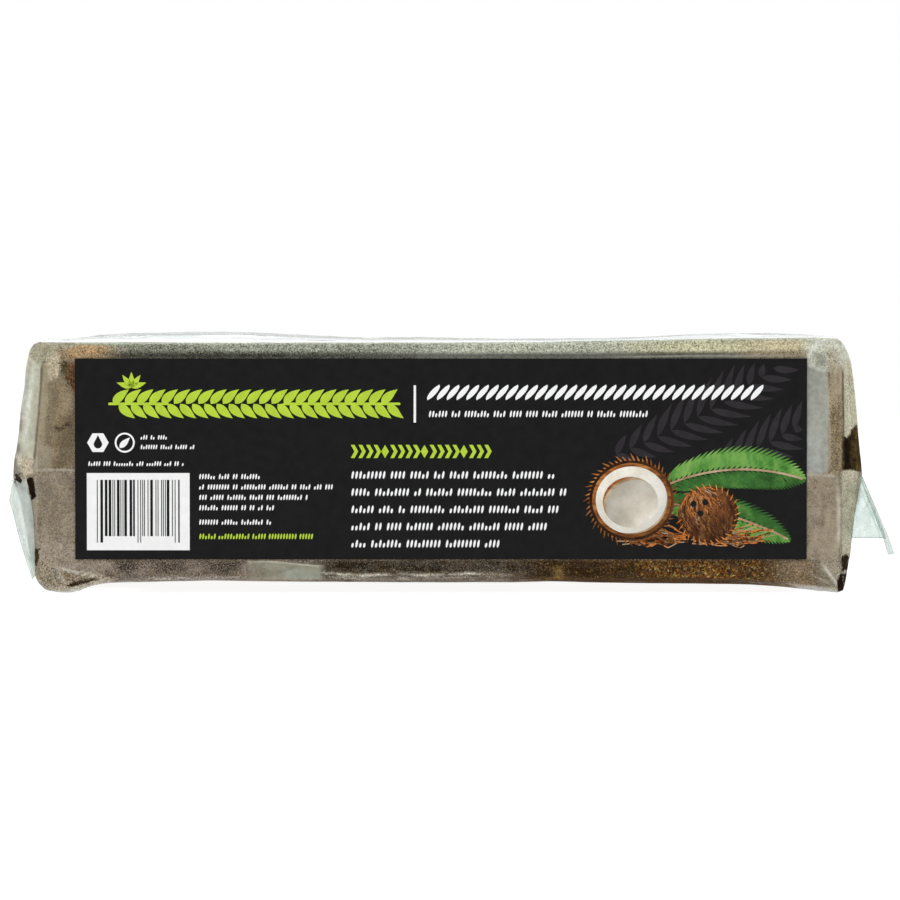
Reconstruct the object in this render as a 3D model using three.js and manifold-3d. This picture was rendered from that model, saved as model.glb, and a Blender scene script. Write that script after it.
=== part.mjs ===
// Compressed block of coconut coir in a loose clear shrink-film wrap, with a printed label
// stuck on the front of the wrap.
// Units are millimetres. +X runs along the block's length, to the right as the label is seen,
// +Z is up and the label faces -Y. The origin ends up in the middle of the whole object's
// footprint, on the surface that it rests on.
//
// Pieces:
//   coir_block  pressed coir, one solid block, slightly arched underneath
//   film_wrap   one skin of clear film: hugs the block, puffs up over the top, is drawn to a
//               level seal across each end and keeps four limp ears where the seals run past
//               the block's upright edges; a level seam with its fin and a round vent hole in
//               the back panel
//   label       thin printed sheet on the front panel of the film

import * as THREE from 'three';
import { mergeVertices } from 'three/addons/utils/BufferGeometryUtils.js';
import Module from 'manifold-3d';

// ---------------------------------------------------------------- driving dimensions
const BLOCK_LENGTH = 201.6;      // along X
const BLOCK_X = -0.8;            // block's middle, from the middle of its flat front face
const BLOCK_DEPTH = 100;         // along Y
const BULGE_LEFT = 0.8;          // how far the end faces belly out at mid-height
const BULGE_RIGHT = 1.8;
const BLOCK_TOP = 62.5;          // height of the block's top above the resting surface
const BLOCK_EDGE_R = 4;          // crumbled, rounded upright edges
const BLOCK_EDGE_RZ = 2.2;       // height of the rounding along the top and bottom edges
const GAP = 0.3;                 // clearance between neighbouring pieces
const FILM_T = 0.4;              // thickness that the film's solid is given
const LABEL_W = 183.2;
const LABEL_H = 50.5;
const LABEL_T = 0.25;
const LABEL_X = -0.125;          // label's middle
const LABEL_Z = 33.5;
const VENT_R = 3;                // vent hole in the back panel
const VENT_X = 38;
const VENT_Z = 45;
const BACK_SEAM_Z = 30;          // level seam along the back panel
const SEAL_Z = 28;               // height of the level seals across the ends
const FIN_OUT = 1.4;             // how far the seal's trimmed fin stands off the end
const EAR_T = 0.6;               // doubled film of an ear

const HALF_D = BLOCK_DEPTH / 2;
const FILM_HALF_D = HALF_D + GAP + FILM_T;

// ---------------------------------------------------------------- profiles
// Linear interpolation in a table of [x, value] pairs sorted by x.
function lookup(table, x) {
  if (x <= table[0][0]) return table[0][1];
  for (let i = 1; i < table.length; i++) {
    if (x <= table[i][0]) {
      const [x0, v0] = table[i - 1];
      const [x1, v1] = table[i];
      return v0 + (v1 - v0) * (x - x0) / (x1 - x0);
    }
  }
  return table[table.length - 1][1];
}

// Underside of the film: flat on the surface under both ends, lifted in between.
const FILM_BOTTOM = [
  [-107.75, 27.3], [-107.4, 26.4], [-106.7, 24.6], [-106, 22.4], [-105, 18.4], [-104, 13.6],
  [-103.3, 9], [-102.7, 4.2], [-101.8, 1.6], [-100.4, 0.4], [-99, 0], [-87, 0], [-83.5, 0.6], [-79, 1.5],
  [-74, 1.8], [34, 1.8], [52, 1.4], [66, 0.95], [79, 0.4], [88, 0], [99, 0], [100, 0.35],
  [101, 1.9], [102, 6], [102.6, 13.5], [103.4, 18.2], [104.2, 22.3], [104.9, 25.6], [105.3, 27.3],
];
// Top edge of the film along the front and back of the block.
const FILM_TOP_EDGE = [
  [-107.75, 29], [-107.4, 33.5], [-106.7, 36], [-106, 40], [-105, 48], [-104, 57.4],
  [-103.3, 61.4], [-102.7, 62.4], [-101.8, 62.9], [-99, 63.2], [98, 63.2], [99.4, 63],
  [100.6, 61.7], [101.8, 59.6], [102.8, 54], [103.5, 44], [104.3, 37], [104.9, 32], [105.3, 29],
];
// How far the loose top panel puffs up above its own edges.
const FILM_PUFF = [
  [-102, 0], [-96.5, 0.55], [-87, 1.5], [-65, 2.05], [-50, 1.8], [-35, 1.05], [-20, 0.6], [-5, 0.8],
  [10, 0.55], [24, 0.25], [39, 0.3], [54, 0.6], [69, 1.55], [84, 1.55], [92, 0.9], [98, 0.4], [101, 0],
];
// Half depth of the wrap: full along the block, drawn in towards the seals.
const FILM_DEPTH = [
  [-107.75, 44.5], [-106.7, 45.6], [-105, 47.2], [-103.3, 48.8], [-102, 50], [-101, 50.5],
  [-99.6, FILM_HALF_D], [99, FILM_HALF_D], [101, 50.4], [102.4, 49.4], [103.5, 48], [104.3, 47],
  [105.3, 45.6],
];
// Underside of the block: its ends are a little thicker than its middle.
const BLOCK_BOTTOM = [
  [-102, 1.6], [-93, 1.3], [-86, 1.6], [-79, 2.3], [-74, 2.5], [34, 2.5], [52, 2.1], [66, 1.7],
  [79, 1.15], [88, 0.75], [100, 0.8],
];

const STATIONS = [
  -107.75, -107.4, -106.7, -106, -105, -104, -103.3, -102.7, -101.8, -100.4, -99, -87, -83.5, -79, -74,
  -58, -42, -26, -8, 10, 28, 34, 52, 66, 79, 88, 97, 99, 100, 100.6, 101.8, 102.6, 103.5, 104.3,
  104.9, 105.3,
];

// ---------------------------------------------------------------- mesh helpers
function solidOf(wasm, positions, triangles) {
  return new wasm.Manifold(new wasm.Mesh({
    numProp: 3,
    vertProperties: new Float32Array(positions),
    triVerts: new Uint32Array(triangles),
  }));
}

// A three.js geometry as a closed solid: only positions kept, shared corners merged.
function solidOfGeometry(wasm, geometry) {
  const bare = geometry.clone();
  bare.deleteAttribute('normal');
  bare.deleteAttribute('uv');
  const merged = mergeVertices(bare, 1e-5);
  return solidOf(wasm, merged.attributes.position.array, merged.index.array);
}

function geometryOf(solid) {
  const mesh = solid.getMesh();
  const positions = [];
  for (let i = 0; i < mesh.numVert; i++) {
    for (let k = 0; k < 3; k++) positions.push(mesh.vertProperties[i * mesh.numProp + k]);
  }
  const geometry = new THREE.BufferGeometry();
  geometry.setAttribute('position', new THREE.Float32BufferAttribute(positions, 3));
  geometry.setIndex(Array.from(mesh.triVerts));
  return geometry;
}

// One closed cross-section across X: a rectangle with rounded corners whose top side is puffed.
// Points run counter-clockwise as seen from +X, from the front lower corner.
function section(x, inset) {
  const half = lookup(FILM_DEPTH, x) - inset;
  const low = lookup(FILM_BOTTOM, x) + inset;
  const high = lookup(FILM_TOP_EDGE, x) - inset;
  const puff = lookup(FILM_PUFF, x);
  const r = Math.max(0.15, Math.min(1.6 - inset, (high - low) * 0.35));
  const points = [];
  const corner = (cy, cz, from) => {
    for (let i = 0; i <= 3; i++) {
      const a = from + (Math.PI / 2) * (i / 3);
      points.push([cy + r * Math.cos(a), cz + r * Math.sin(a)]);
    }
  };
  const side = (y0, z0, y1, z1, n, lift) => {
    for (let i = 1; i < n; i++) {
      const t = i / n;
      points.push([y0 + (y1 - y0) * t, z0 + (z1 - z0) * t + lift * 4 * t * (1 - t)]);
    }
  };
  corner(-half + r, low + r, Math.PI);                       // front lower
  side(-half + r, low, half - r, low, 5, 0);                 // bottom panel
  corner(half - r, low + r, -Math.PI / 2);                   // back lower
  side(half, low + r, half, high - r, 4, 0);                 // back panel
  corner(half - r, high - r, 0);                             // back upper
  side(half - r, high, -half + r, high, 8, puff);            // top panel
  corner(-half + r, high - r, Math.PI / 2);                  // front upper
  side(-half, high - r, -half, low + r, 4, 0);               // front panel
  return points;
}

// A closed body through cross-sections, capped flat at both ends.
function loft(wasm, xs, inset, xOf) {
  const positions = [];
  const triangles = [];
  const rings = xs.map((x) => section(x, inset));
  const n = rings[0].length;
  rings.forEach((ring, i) => ring.forEach(([y, z]) => positions.push(xOf(xs[i]), y, z)));
  for (let i = 0; i + 1 < rings.length; i++) {
    for (let j = 0; j < n; j++) {
      const a = i * n + j;
      const b = i * n + (j + 1) % n;
      triangles.push(a, a + n, b, b, a + n, b + n);
    }
  }
  for (const [i, flip] of [[0, false], [rings.length - 1, true]]) {
    const centre = positions.length / 3;
    let cy = 0;
    let cz = 0;
    for (const [y, z] of rings[i]) { cy += y / n; cz += z / n; }
    positions.push(xOf(xs[i]), cy, cz);
    for (let j = 0; j < n; j++) {
      const a = i * n + j;
      const b = i * n + (j + 1) % n;
      if (flip) triangles.push(a, centre, b);
      else triangles.push(centre, a, b);
    }
  }
  return { positions, triangles };
}

function orient(wasm, made) {
  let solid = solidOf(wasm, made.positions, made.triangles);
  if (solid.volume() < 0) {
    const t = made.triangles.slice();
    for (let i = 0; i < t.length; i += 3) [t[i + 1], t[i + 2]] = [t[i + 2], t[i + 1]];
    solid = solidOf(wasm, made.positions, t);
  }
  return solid;
}

// A flat ear: outline in the plane of the front view [x, z], given a thickness and swung about
// its upright root line so that its tip stands a little away from the block.
function ear(wasm, outline, rootX, rootY, swing) {
  const shape = new THREE.Shape(outline.map(([x, z]) => new THREE.Vector2(x - rootX, z)));
  const g = new THREE.ExtrudeGeometry(shape, { depth: EAR_T, bevelEnabled: false });
  g.translate(0, 0, -EAR_T / 2);
  g.rotateX(Math.PI / 2);        // shape's own up becomes +Z
  g.rotateZ(swing);
  g.translate(rootX, rootY, 0);
  return solidOfGeometry(wasm, g);
}

// The trimmed fin of a seal: a narrow strip along the end, drooping a little.
function fin(wasm, x, side, halfLength) {
  const g = new THREE.BoxGeometry(FIN_OUT + 1, 2 * halfLength, 0.6);
  g.translate((FIN_OUT + 1) / 2 - 1, 0, 0);
  g.rotateY(0.5);
  if (side < 0) g.rotateZ(Math.PI);
  g.translate(x, 0, SEAL_Z);
  return solidOfGeometry(wasm, g);
}

// ---------------------------------------------------------------- pieces
// Slow, shallow unevenness of the pressed faces, from 0 to 1.
function uneven(a, b, phase) {
  return 0.5 + 0.25 * (Math.sin(a * 0.083 + phase) * Math.cos(b * 0.117 + phase * 1.7)
    + Math.sin(a * 0.041 - b * 0.073 + phase * 2.3));
}

function coirBlock() {
  const r = BLOCK_EDGE_R;
  const rz = BLOCK_EDGE_RZ;
  const halfL = BLOCK_LENGTH / 2;
  const halfH = BLOCK_TOP / 2;
  const g = new THREE.BoxGeometry(2, 2, 2, 26, 14, 10);
  // BoxGeometry's segments are spread so that each rounded edge gets two of them.
  const spread = (t, segments, half, edge) => {
    const k = Math.round((t + 1) / 2 * segments);
    if (k === 0) return -half;
    if (k === segments) return half;
    if (k === 1) return -half + edge * 0.5;
    if (k === segments - 1) return half - edge * 0.5;
    if (k === 2) return -half + edge;
    if (k === segments - 2) return half - edge;
    return (-half + edge) + (2 * (half - edge)) * (k - 2) / (segments - 4);
  };
  const p = g.attributes.position;
  for (let i = 0; i < p.count; i++) {
    let x = spread(p.getX(i), 26, halfL, r);
    let y = spread(p.getY(i), 14, HALF_D, r);
    let z = spread(p.getZ(i), 10, halfH, rz);
    const cx = Math.max(-halfL + r, Math.min(halfL - r, x));
    const cy = Math.max(-HALF_D + r, Math.min(HALF_D - r, y));
    const cz = Math.max(-halfH + rz, Math.min(halfH - rz, z));
    const d = Math.hypot((x - cx) / r, (y - cy) / r, (z - cz) / rz);
    const nx = (x - cx) / r / d;
    const ny = (y - cy) / r / d;
    const nz = (z - cz) / rz / d;
    const dip = 0.35 * (Math.abs(nx) * uneven(y, z, 0.4) + Math.abs(ny) * uneven(x, z, 1.9)
      + Math.max(0, nz) * uneven(x, y, 3.1));
    x = BLOCK_X + cx + nx * (r - dip);
    y = cy + ny * (r - dip);
    z = cz + nz * (rz - dip);
    // stretch the height so that the underside follows its arch
    const bottom = lookup(BLOCK_BOTTOM, x);
    const t = (z + halfH) / (2 * halfH);
    z = bottom + (BLOCK_TOP - bottom) * t;
    // the end faces belly out
    const out = Math.max(0, Math.abs(x) - 90) / 10 * (1 - ((z - 31) / 31) ** 2) * (1 - 0.5 * (y / HALF_D) ** 2);
    x += x < 0 ? -BULGE_LEFT * out : BULGE_RIGHT * out;
    p.setXYZ(i, x, y, z);
  }
  g.deleteAttribute('normal');
  g.deleteAttribute('uv');
  return mergeVertices(g, 1e-4);
}

function filmWrap(wasm) {
  const outer = orient(wasm, loft(wasm, STATIONS, 0, (x) => x));
  // The inside follows the outside one film thickness in, and stops short of the seals.
  const innerStations = STATIONS.filter((x) => x > -107 && x < 104.5);
  const pull = (x) => {
    const over = Math.abs(x) - 97;
    const share = Math.max(0, Math.min(1, over / 3));
    return x - Math.sign(x) * FILM_T * share;
  };
  const inner = orient(wasm, loft(wasm, innerStations, FILM_T, pull));

  const ears = [
    // front right: hangs out from the seal's end, its heat-cut edge the longest
    ear(wasm, [[101.2, 31], [105.3, 29.6], [113.9, 9.4], [111.4, 9.1], [110.3, 13.6], [101.6, 13.4]],
      101.4, -48.4, -0.42),
    // front left: shorter tip, long lower fold down to the corner
    ear(wasm, [[-102, 30], [-107.9, 27.8], [-109.4, 23.2], [-107.7, 15.6], [-105.9, 9.4],
      [-103.2, 3.6], [-101.2, 3.6]], -101.4, -48.4, 0.38),
    // back right and back left, the same folds at the other ends of the two seals
    ear(wasm, [[101.2, 31], [105.2, 29.2], [110.2, 17.6], [108.4, 12.6], [101.6, 11.2]],
      101.4, 48.4, 0.5),
    ear(wasm, [[-102, 31], [-107.2, 28.6], [-109.4, 16.2], [-107.6, 12.2], [-101.6, 12.6]],
      -101.4, 48.4, -0.46),
  ];
  const fins = [fin(wasm, 105.2, 1, 44.5), fin(wasm, -107.6, -1, 43.5)];
  // the long seam's fin along the back panel, folded down a little
  const seam = new THREE.BoxGeometry(196, FIN_OUT + 1, 0.6);
  seam.translate(0, (FIN_OUT + 1) / 2 - 1, 0);
  seam.rotateX(-0.6);
  seam.translate(-0.6, FILM_HALF_D - 0.1, BACK_SEAM_Z);
  fins.push(solidOfGeometry(wasm, seam));

  let solid = outer;
  for (const s of [...ears, ...fins]) solid = solid.add(s);
  solid = solid.subtract(inner);

  const vent = new THREE.CylinderGeometry(VENT_R, VENT_R, 6, 20);
  vent.translate(VENT_X, FILM_HALF_D, VENT_Z);
  solid = solid.subtract(solidOfGeometry(wasm, vent));
  return geometryOf(solid);
}

function labelSheet() {
  const g = new THREE.BoxGeometry(LABEL_W, LABEL_T, LABEL_H);
  g.translate(LABEL_X, -(FILM_HALF_D + GAP + LABEL_T / 2), LABEL_Z);
  g.deleteAttribute('normal');
  g.deleteAttribute('uv');
  return mergeVertices(g, 1e-4);
}

// ---------------------------------------------------------------- assembly
const wasm = await Module();
wasm.setup();

const group = new THREE.Group();
group.name = 'coir_bale';

function addPiece(name, geometry, material) {
  const mesh = new THREE.Mesh(geometry, material);
  mesh.name = name;
  group.add(mesh);
}

addPiece('coir_block', coirBlock(), new THREE.MeshStandardMaterial({ color: 0x7a624a, roughness: 0.95 }));
addPiece('film_wrap', filmWrap(wasm), new THREE.MeshStandardMaterial({
  color: 0xdfe8e2, roughness: 0.15, transparent: true, opacity: 0.35,
}));
addPiece('label', labelSheet(), new THREE.MeshStandardMaterial({ color: 0x242223, roughness: 0.5 }));

// Put the origin under the middle of the whole object's footprint.
const box = new THREE.Box3();
for (const mesh of group.children) {
  mesh.geometry.computeBoundingBox();
  box.union(mesh.geometry.boundingBox);
}
const shiftX = -(box.min.x + box.max.x) / 2;
const shiftY = -(box.min.y + box.max.y) / 2;
for (const mesh of group.children) {
  mesh.geometry.translate(shiftX, shiftY, 0);
  mesh.geometry.computeVertexNormals();
}

export default group;
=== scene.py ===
import math
import random

import bpy
import numpy as np
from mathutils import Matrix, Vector, noise


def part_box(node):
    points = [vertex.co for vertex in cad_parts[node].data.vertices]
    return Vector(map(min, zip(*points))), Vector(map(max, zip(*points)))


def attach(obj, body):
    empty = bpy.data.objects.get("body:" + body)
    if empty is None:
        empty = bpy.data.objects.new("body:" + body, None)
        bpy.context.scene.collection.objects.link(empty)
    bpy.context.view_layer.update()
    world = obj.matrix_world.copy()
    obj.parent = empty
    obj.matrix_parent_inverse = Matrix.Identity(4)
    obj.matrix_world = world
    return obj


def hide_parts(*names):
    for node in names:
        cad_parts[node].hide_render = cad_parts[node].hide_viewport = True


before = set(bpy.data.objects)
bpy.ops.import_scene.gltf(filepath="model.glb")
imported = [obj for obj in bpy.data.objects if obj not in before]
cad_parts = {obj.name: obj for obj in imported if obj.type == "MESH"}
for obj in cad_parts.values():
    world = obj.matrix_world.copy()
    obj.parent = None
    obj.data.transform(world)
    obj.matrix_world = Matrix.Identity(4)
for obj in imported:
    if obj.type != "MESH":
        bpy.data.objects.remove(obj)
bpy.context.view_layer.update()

# Lengths below are in millimetres in the block's own frame (x along the block, y into the
# picture, z up from the resting surface) until they are written to a mesh, which is in metres
# in the shared frame. SHIFT takes one to the other.
label_lo, label_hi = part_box("label")
SHIFT = np.array([(label_lo.x + label_hi.x) * 500 + 0.125, label_lo.y * 1000 + 51.25, 0.0])
FRONT = -50.75          # the film's front panel
random.seed(11)
RNG = np.random.default_rng(11)


def table(pairs):
    xs, vs = zip(*pairs)
    xs, vs = np.array(xs, float), np.array(vs, float)
    return lambda x: np.interp(x, xs, vs)


def smooth(a, b, x):
    t = np.clip((x - a) / (b - a), 0, 1)
    return t * t * (3 - 2 * t)


# ------------------------------------------------------------------ noise on arrays
def lattice(ix, iy, iz, seed):
    h = (ix * 374761393 + iy * 668265263 + iz * 2147483647 + seed * 1274126177) & 0xFFFFFFFF
    h = ((h ^ (h >> 13)) * 1274126177) & 0xFFFFFFFF
    h = h ^ (h >> 16)
    return (h & 0xFFFFFF).astype(float) / 0xFFFFFF


def value_noise(p, size, seed=0):
    """Smooth noise from -1 to 1 at points p, with features about size across."""
    q = p / size
    i = np.floor(q).astype(np.int64)
    f = q - i
    f = f * f * (3 - 2 * f)
    out = 0
    for dx in (0, 1):
        for dy in (0, 1):
            for dz in (0, 1):
                w = (
                    (f[:, 0] if dx else 1 - f[:, 0])
                    * (f[:, 1] if dy else 1 - f[:, 1])
                    * (f[:, 2] if dz else 1 - f[:, 2])
                )
                out = out + w * lattice(i[:, 0] + dx, i[:, 1] + dy, i[:, 2] + dz, seed)
    return out * 2 - 1


def fbm(p, size, octaves, seed=0):
    out, amp, total = 0, 1.0, 0
    for k in range(octaves):
        out = out + amp * value_noise(p, size / 2**k, seed + 17 * k)
        total += amp
        amp *= 0.5
    return out / total


# ------------------------------------------------------------------ mesh helpers
def make(name, points, faces, materials, smooth_shade=True, face_mat=None):
    me = bpy.data.meshes.new(name)
    pts = (np.asarray(points, float) + SHIFT) / 1000
    faces = faces if isinstance(faces, list) else faces.tolist()
    me.from_pydata(pts.tolist(), [], faces)
    for m in materials if isinstance(materials, (list, tuple)) else [materials]:
        me.materials.append(m)
    if face_mat is not None:
        me.polygons.foreach_set("material_index", np.asarray(face_mat, np.int32))
    me.polygons.foreach_set("use_smooth", np.full(len(faces), smooth_shade))
    me.update()
    ob = bpy.data.objects.new(name, me)
    bpy.context.scene.collection.objects.link(ob)
    return ob


def paint(ob, name, values):
    """A number at each vertex, which the material reads."""
    a = ob.data.attributes.new(name, "FLOAT", "POINT")
    a.data.foreach_set("value", np.asarray(values, np.float32))


def paint_colour(ob, name, values):
    a = ob.data.attributes.new(name, "FLOAT_COLOR", "POINT")
    v = np.ones((len(ob.data.vertices), 4), np.float32)
    v[:, :3] = values
    a.data.foreach_set("color", v.ravel())


# ------------------------------------------------------------------ material helpers
class Nodes:
    def __init__(self, name):
        self.mat = bpy.data.materials.new(name)
        self.mat.use_nodes = True
        self.t = self.mat.node_tree
        self.t.nodes.clear()
        self.out = self.new("ShaderNodeOutputMaterial")
        self.coords = None

    def new(self, kind, **props):
        n = self.t.nodes.new(kind)
        for k, v in props.items():
            setattr(n, k, v)
        return n

    def link(self, a, b):
        self.t.links.new(a, b)

    def put(self, socket, value):
        if isinstance(value, bpy.types.NodeSocket):
            self.link(value, socket)
        else:
            if hasattr(socket.default_value, "__len__") and len(socket.default_value) == 4 and len(value) == 3:
                value = (*value, 1.0)
            socket.default_value = value

    def object_coords(self, scale=(1, 1, 1), rotate=(0, 0, 0), offset=(0, 0, 0)):
        if self.coords is None:
            self.coords = self.new("ShaderNodeTexCoord")
        m = self.new("ShaderNodeMapping")
        m.inputs["Scale"].default_value = scale
        m.inputs["Rotation"].default_value = rotate
        m.inputs["Location"].default_value = offset
        self.link(self.coords.outputs["Object"], m.inputs["Vector"])
        return m.outputs["Vector"]

    def noise(self, vector, scale, detail=3, rough=0.5, distortion=0.0):
        n = self.new("ShaderNodeTexNoise")
        n.inputs["Scale"].default_value = scale
        n.inputs["Detail"].default_value = detail
        n.inputs["Roughness"].default_value = rough
        n.inputs["Distortion"].default_value = distortion
        self.link(vector, n.inputs["Vector"])
        return n.outputs["Fac"]

    def voronoi(self, vector, scale, feature="F1", out="Distance", randomness=1.0):
        n = self.new("ShaderNodeTexVoronoi", feature=feature)
        n.inputs["Scale"].default_value = scale
        n.inputs["Randomness"].default_value = randomness
        self.link(vector, n.inputs["Vector"])
        return n.outputs[out]

    def ramp(self, value, stops, interpolation="LINEAR"):
        n = self.new("ShaderNodeValToRGB")
        n.color_ramp.interpolation = interpolation
        els = n.color_ramp.elements
        while len(els) < len(stops):
            els.new(0.5)
        for e, (pos, col) in zip(els, stops):
            e.position = pos
            e.color = (*col, 1.0) if len(col) == 3 else col
        self.link(value, n.inputs["Fac"])
        return n.outputs["Color"]

    def math(self, op, a, b=0.0, c=0.0, clamp=False):
        n = self.new("ShaderNodeMath", operation=op, use_clamp=clamp)
        self.put(n.inputs[0], a)
        self.put(n.inputs[1], b)
        if len(n.inputs) > 2:
            self.put(n.inputs[2], c)
        return n.outputs[0]

    def mix(self, fac, a, b, blend="MIX"):
        n = self.new("ShaderNodeMix", data_type="RGBA", blend_type=blend)
        self.put(n.inputs["Factor"], fac)
        self.put(n.inputs["A"], a)
        self.put(n.inputs["B"], b)
        return n.outputs["Result"]

    def attribute(self, name, out="Fac"):
        n = self.new("ShaderNodeAttribute", attribute_name=name)
        return n.outputs[out]

    def remap(self, value, a, b, c=0.0, d=1.0):
        n = self.new("ShaderNodeMapRange", clamp=True)
        self.put(n.inputs["Value"], value)
        for k, v in zip(("From Min", "From Max", "To Min", "To Max"), (a, b, c, d)):
            n.inputs[k].default_value = v
        return n.outputs["Result"]

    def bump(self, height, strength, distance):
        n = self.new("ShaderNodeBump")
        n.inputs["Strength"].default_value = strength
        n.inputs["Distance"].default_value = distance
        self.link(height, n.inputs["Height"])
        return n.outputs["Normal"]

    def principled(self, **values):
        n = self.new("ShaderNodeBsdfPrincipled")
        for k, v in values.items():
            self.put(n.inputs[k.replace("_", " ")], v)
        return n

    def finish(self, shader):
        self.link(shader, self.out.inputs["Surface"])
        return self.mat


def rgb(r, g, b):
    """Display values 0-255 to linear."""
    return tuple(((c / 255) / 12.92) if c / 255 <= 0.04045 else (((c / 255) + 0.055) / 1.055) ** 2.4 for c in (r, g, b))


# ================================================================== camera, light, floor
AIM = Vector((0.0, (FRONT + SHIFT[1]) / 1000, 0.03575))
DISTANCE = 1.0
ELEVATION = math.radians(1.5)
cam_data = bpy.data.cameras.new("camera")
cam_data.sensor_width = 36
cam_data.lens = 36 * DISTANCE / 0.225
cam_data.clip_end = 20
cam = bpy.data.objects.new("camera", cam_data)
bpy.context.scene.collection.objects.link(cam)
cam.location = AIM + Vector((0, -math.cos(ELEVATION), math.sin(ELEVATION))) * DISTANCE
cam.rotation_euler = (math.radians(90) - ELEVATION, 0, 0)
bpy.context.scene.camera = cam
bpy.context.scene.view_settings.view_transform = "Standard"


def area(name, at, to, size, power, colour=(1, 1, 1)):
    d = bpy.data.lights.new(name, "AREA")
    d.shape = "RECTANGLE"
    d.size, d.size_y = size
    d.energy = power
    d.color = colour
    o = bpy.data.objects.new(name, d)
    o.location = at
    o.rotation_euler = (Vector(to) - Vector(at)).to_track_quat("-Z", "Y").to_euler()
    bpy.context.scene.collection.objects.link(o)
    return o


area("softbox_left", (-0.95, -1.05, 0.85), (0, 0, 0.03), (0.9, 0.9), 6.0, (1.0, 0.985, 0.96))
area("softbox_right", (1.1, -0.75, 0.65), (0, 0, 0.03), (0.7, 0.7), 3.6, (0.97, 0.985, 1.0))
area("softbox_top", (0.0, 0.1, 1.25), (0, 0, 0), (1.4, 1.0), 5.0)
area("softbox_back", (0.1, 1.2, 0.8), (0, 0, 0.05), (1.2, 0.6), 2.6)

# a white room: full white to the eye; as a light, white behind the object and dimmer in front of
# it; in a reflection, a white wall behind and a white horizon but dim overhead, so that the
# softboxes show in the film
world = bpy.data.worlds.new("studio")
world.use_nodes = True
bpy.context.scene.world = world
wt = world.node_tree
wt.nodes.clear()
w_out = wt.nodes.new("ShaderNodeOutputWorld")
w_path = wt.nodes.new("ShaderNodeLightPath")
w_seen = wt.nodes.new("ShaderNodeBackground")
w_seen.inputs["Color"].default_value = (1.0, 1.0, 1.0, 1)
w_seen.inputs["Strength"].default_value = 1.0
w_lit = wt.nodes.new("ShaderNodeBackground")
w_lit.inputs["Color"].default_value = (0.985, 0.992, 1.0, 1)
w_dir = wt.nodes.new("ShaderNodeTexCoord")
w_xyz = wt.nodes.new("ShaderNodeSeparateXYZ")
w_ramp = wt.nodes.new("ShaderNodeMapRange")
for k, x in (("From Min", -0.25), ("From Max", 0.35), ("To Min", 0.36), ("To Max", 1.0)):
    w_ramp.inputs[k].default_value = x
w_shine = wt.nodes.new("ShaderNodeMapRange")
for k, x in (("From Min", -0.25), ("From Max", 0.35), ("To Min", 0.12), ("To Max", 1.0)):
    w_shine.inputs[k].default_value = x
wt.links.new(w_dir.outputs["Generated"], w_xyz.inputs[0])
wt.links.new(w_xyz.outputs["Y"], w_shine.inputs["Value"])
wt.links.new(w_xyz.outputs["Y"], w_ramp.inputs["Value"])
wt.links.new(w_ramp.outputs["Result"], w_lit.inputs["Strength"])
w_gloss = wt.nodes.new("ShaderNodeBackground")
w_gloss.inputs["Color"].default_value = (0.975, 0.99, 1.0, 1)
w_high = wt.nodes.new("ShaderNodeMapRange")
for k, x in (("From Min", 0.10), ("From Max", 0.34), ("To Min", 1.0), ("To Max", 0.26)):
    w_high.inputs[k].default_value = x
w_times = wt.nodes.new("ShaderNodeMath")
w_times.operation = "MULTIPLY"
wt.links.new(w_xyz.outputs["Z"], w_high.inputs["Value"])
wt.links.new(w_shine.outputs["Result"], w_times.inputs[0])
w_wall = wt.nodes.new("ShaderNodeMapRange")
for k, x in (("From Min", 0.70), ("From Max", 0.90), ("To Min", 0.0), ("To Max", 1.0)):
    w_wall.inputs[k].default_value = x
w_rise = wt.nodes.new("ShaderNodeMapRange")
for k, x in (("From Min", 0.42), ("From Max", 0.66), ("To Min", 1.0), ("To Max", 0.0)):
    w_rise.inputs[k].default_value = x
w_both = wt.nodes.new("ShaderNodeMath")
w_both.operation = "MULTIPLY"
w_most = wt.nodes.new("ShaderNodeMath")
w_most.operation = "MAXIMUM"
wt.links.new(w_xyz.outputs["Y"], w_wall.inputs["Value"])
wt.links.new(w_xyz.outputs["Z"], w_rise.inputs["Value"])
wt.links.new(w_wall.outputs["Result"], w_both.inputs[0])
wt.links.new(w_rise.outputs["Result"], w_both.inputs[1])
wt.links.new(w_high.outputs["Result"], w_most.inputs[0])
wt.links.new(w_both.outputs[0], w_most.inputs[1])
wt.links.new(w_most.outputs[0], w_times.inputs[1])
wt.links.new(w_times.outputs[0], w_gloss.inputs["Strength"])
w_kind = wt.nodes.new("ShaderNodeMixShader")
wt.links.new(w_path.outputs["Is Glossy Ray"], w_kind.inputs[0])
wt.links.new(w_lit.outputs[0], w_kind.inputs[1])
wt.links.new(w_gloss.outputs[0], w_kind.inputs[2])
w_mix = wt.nodes.new("ShaderNodeMixShader")
wt.links.new(w_path.outputs["Is Camera Ray"], w_mix.inputs[0])
wt.links.new(w_kind.outputs[0], w_mix.inputs[1])
wt.links.new(w_seen.outputs[0], w_mix.inputs[2])
wt.links.new(w_mix.outputs[0], w_out.inputs[0])

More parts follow.
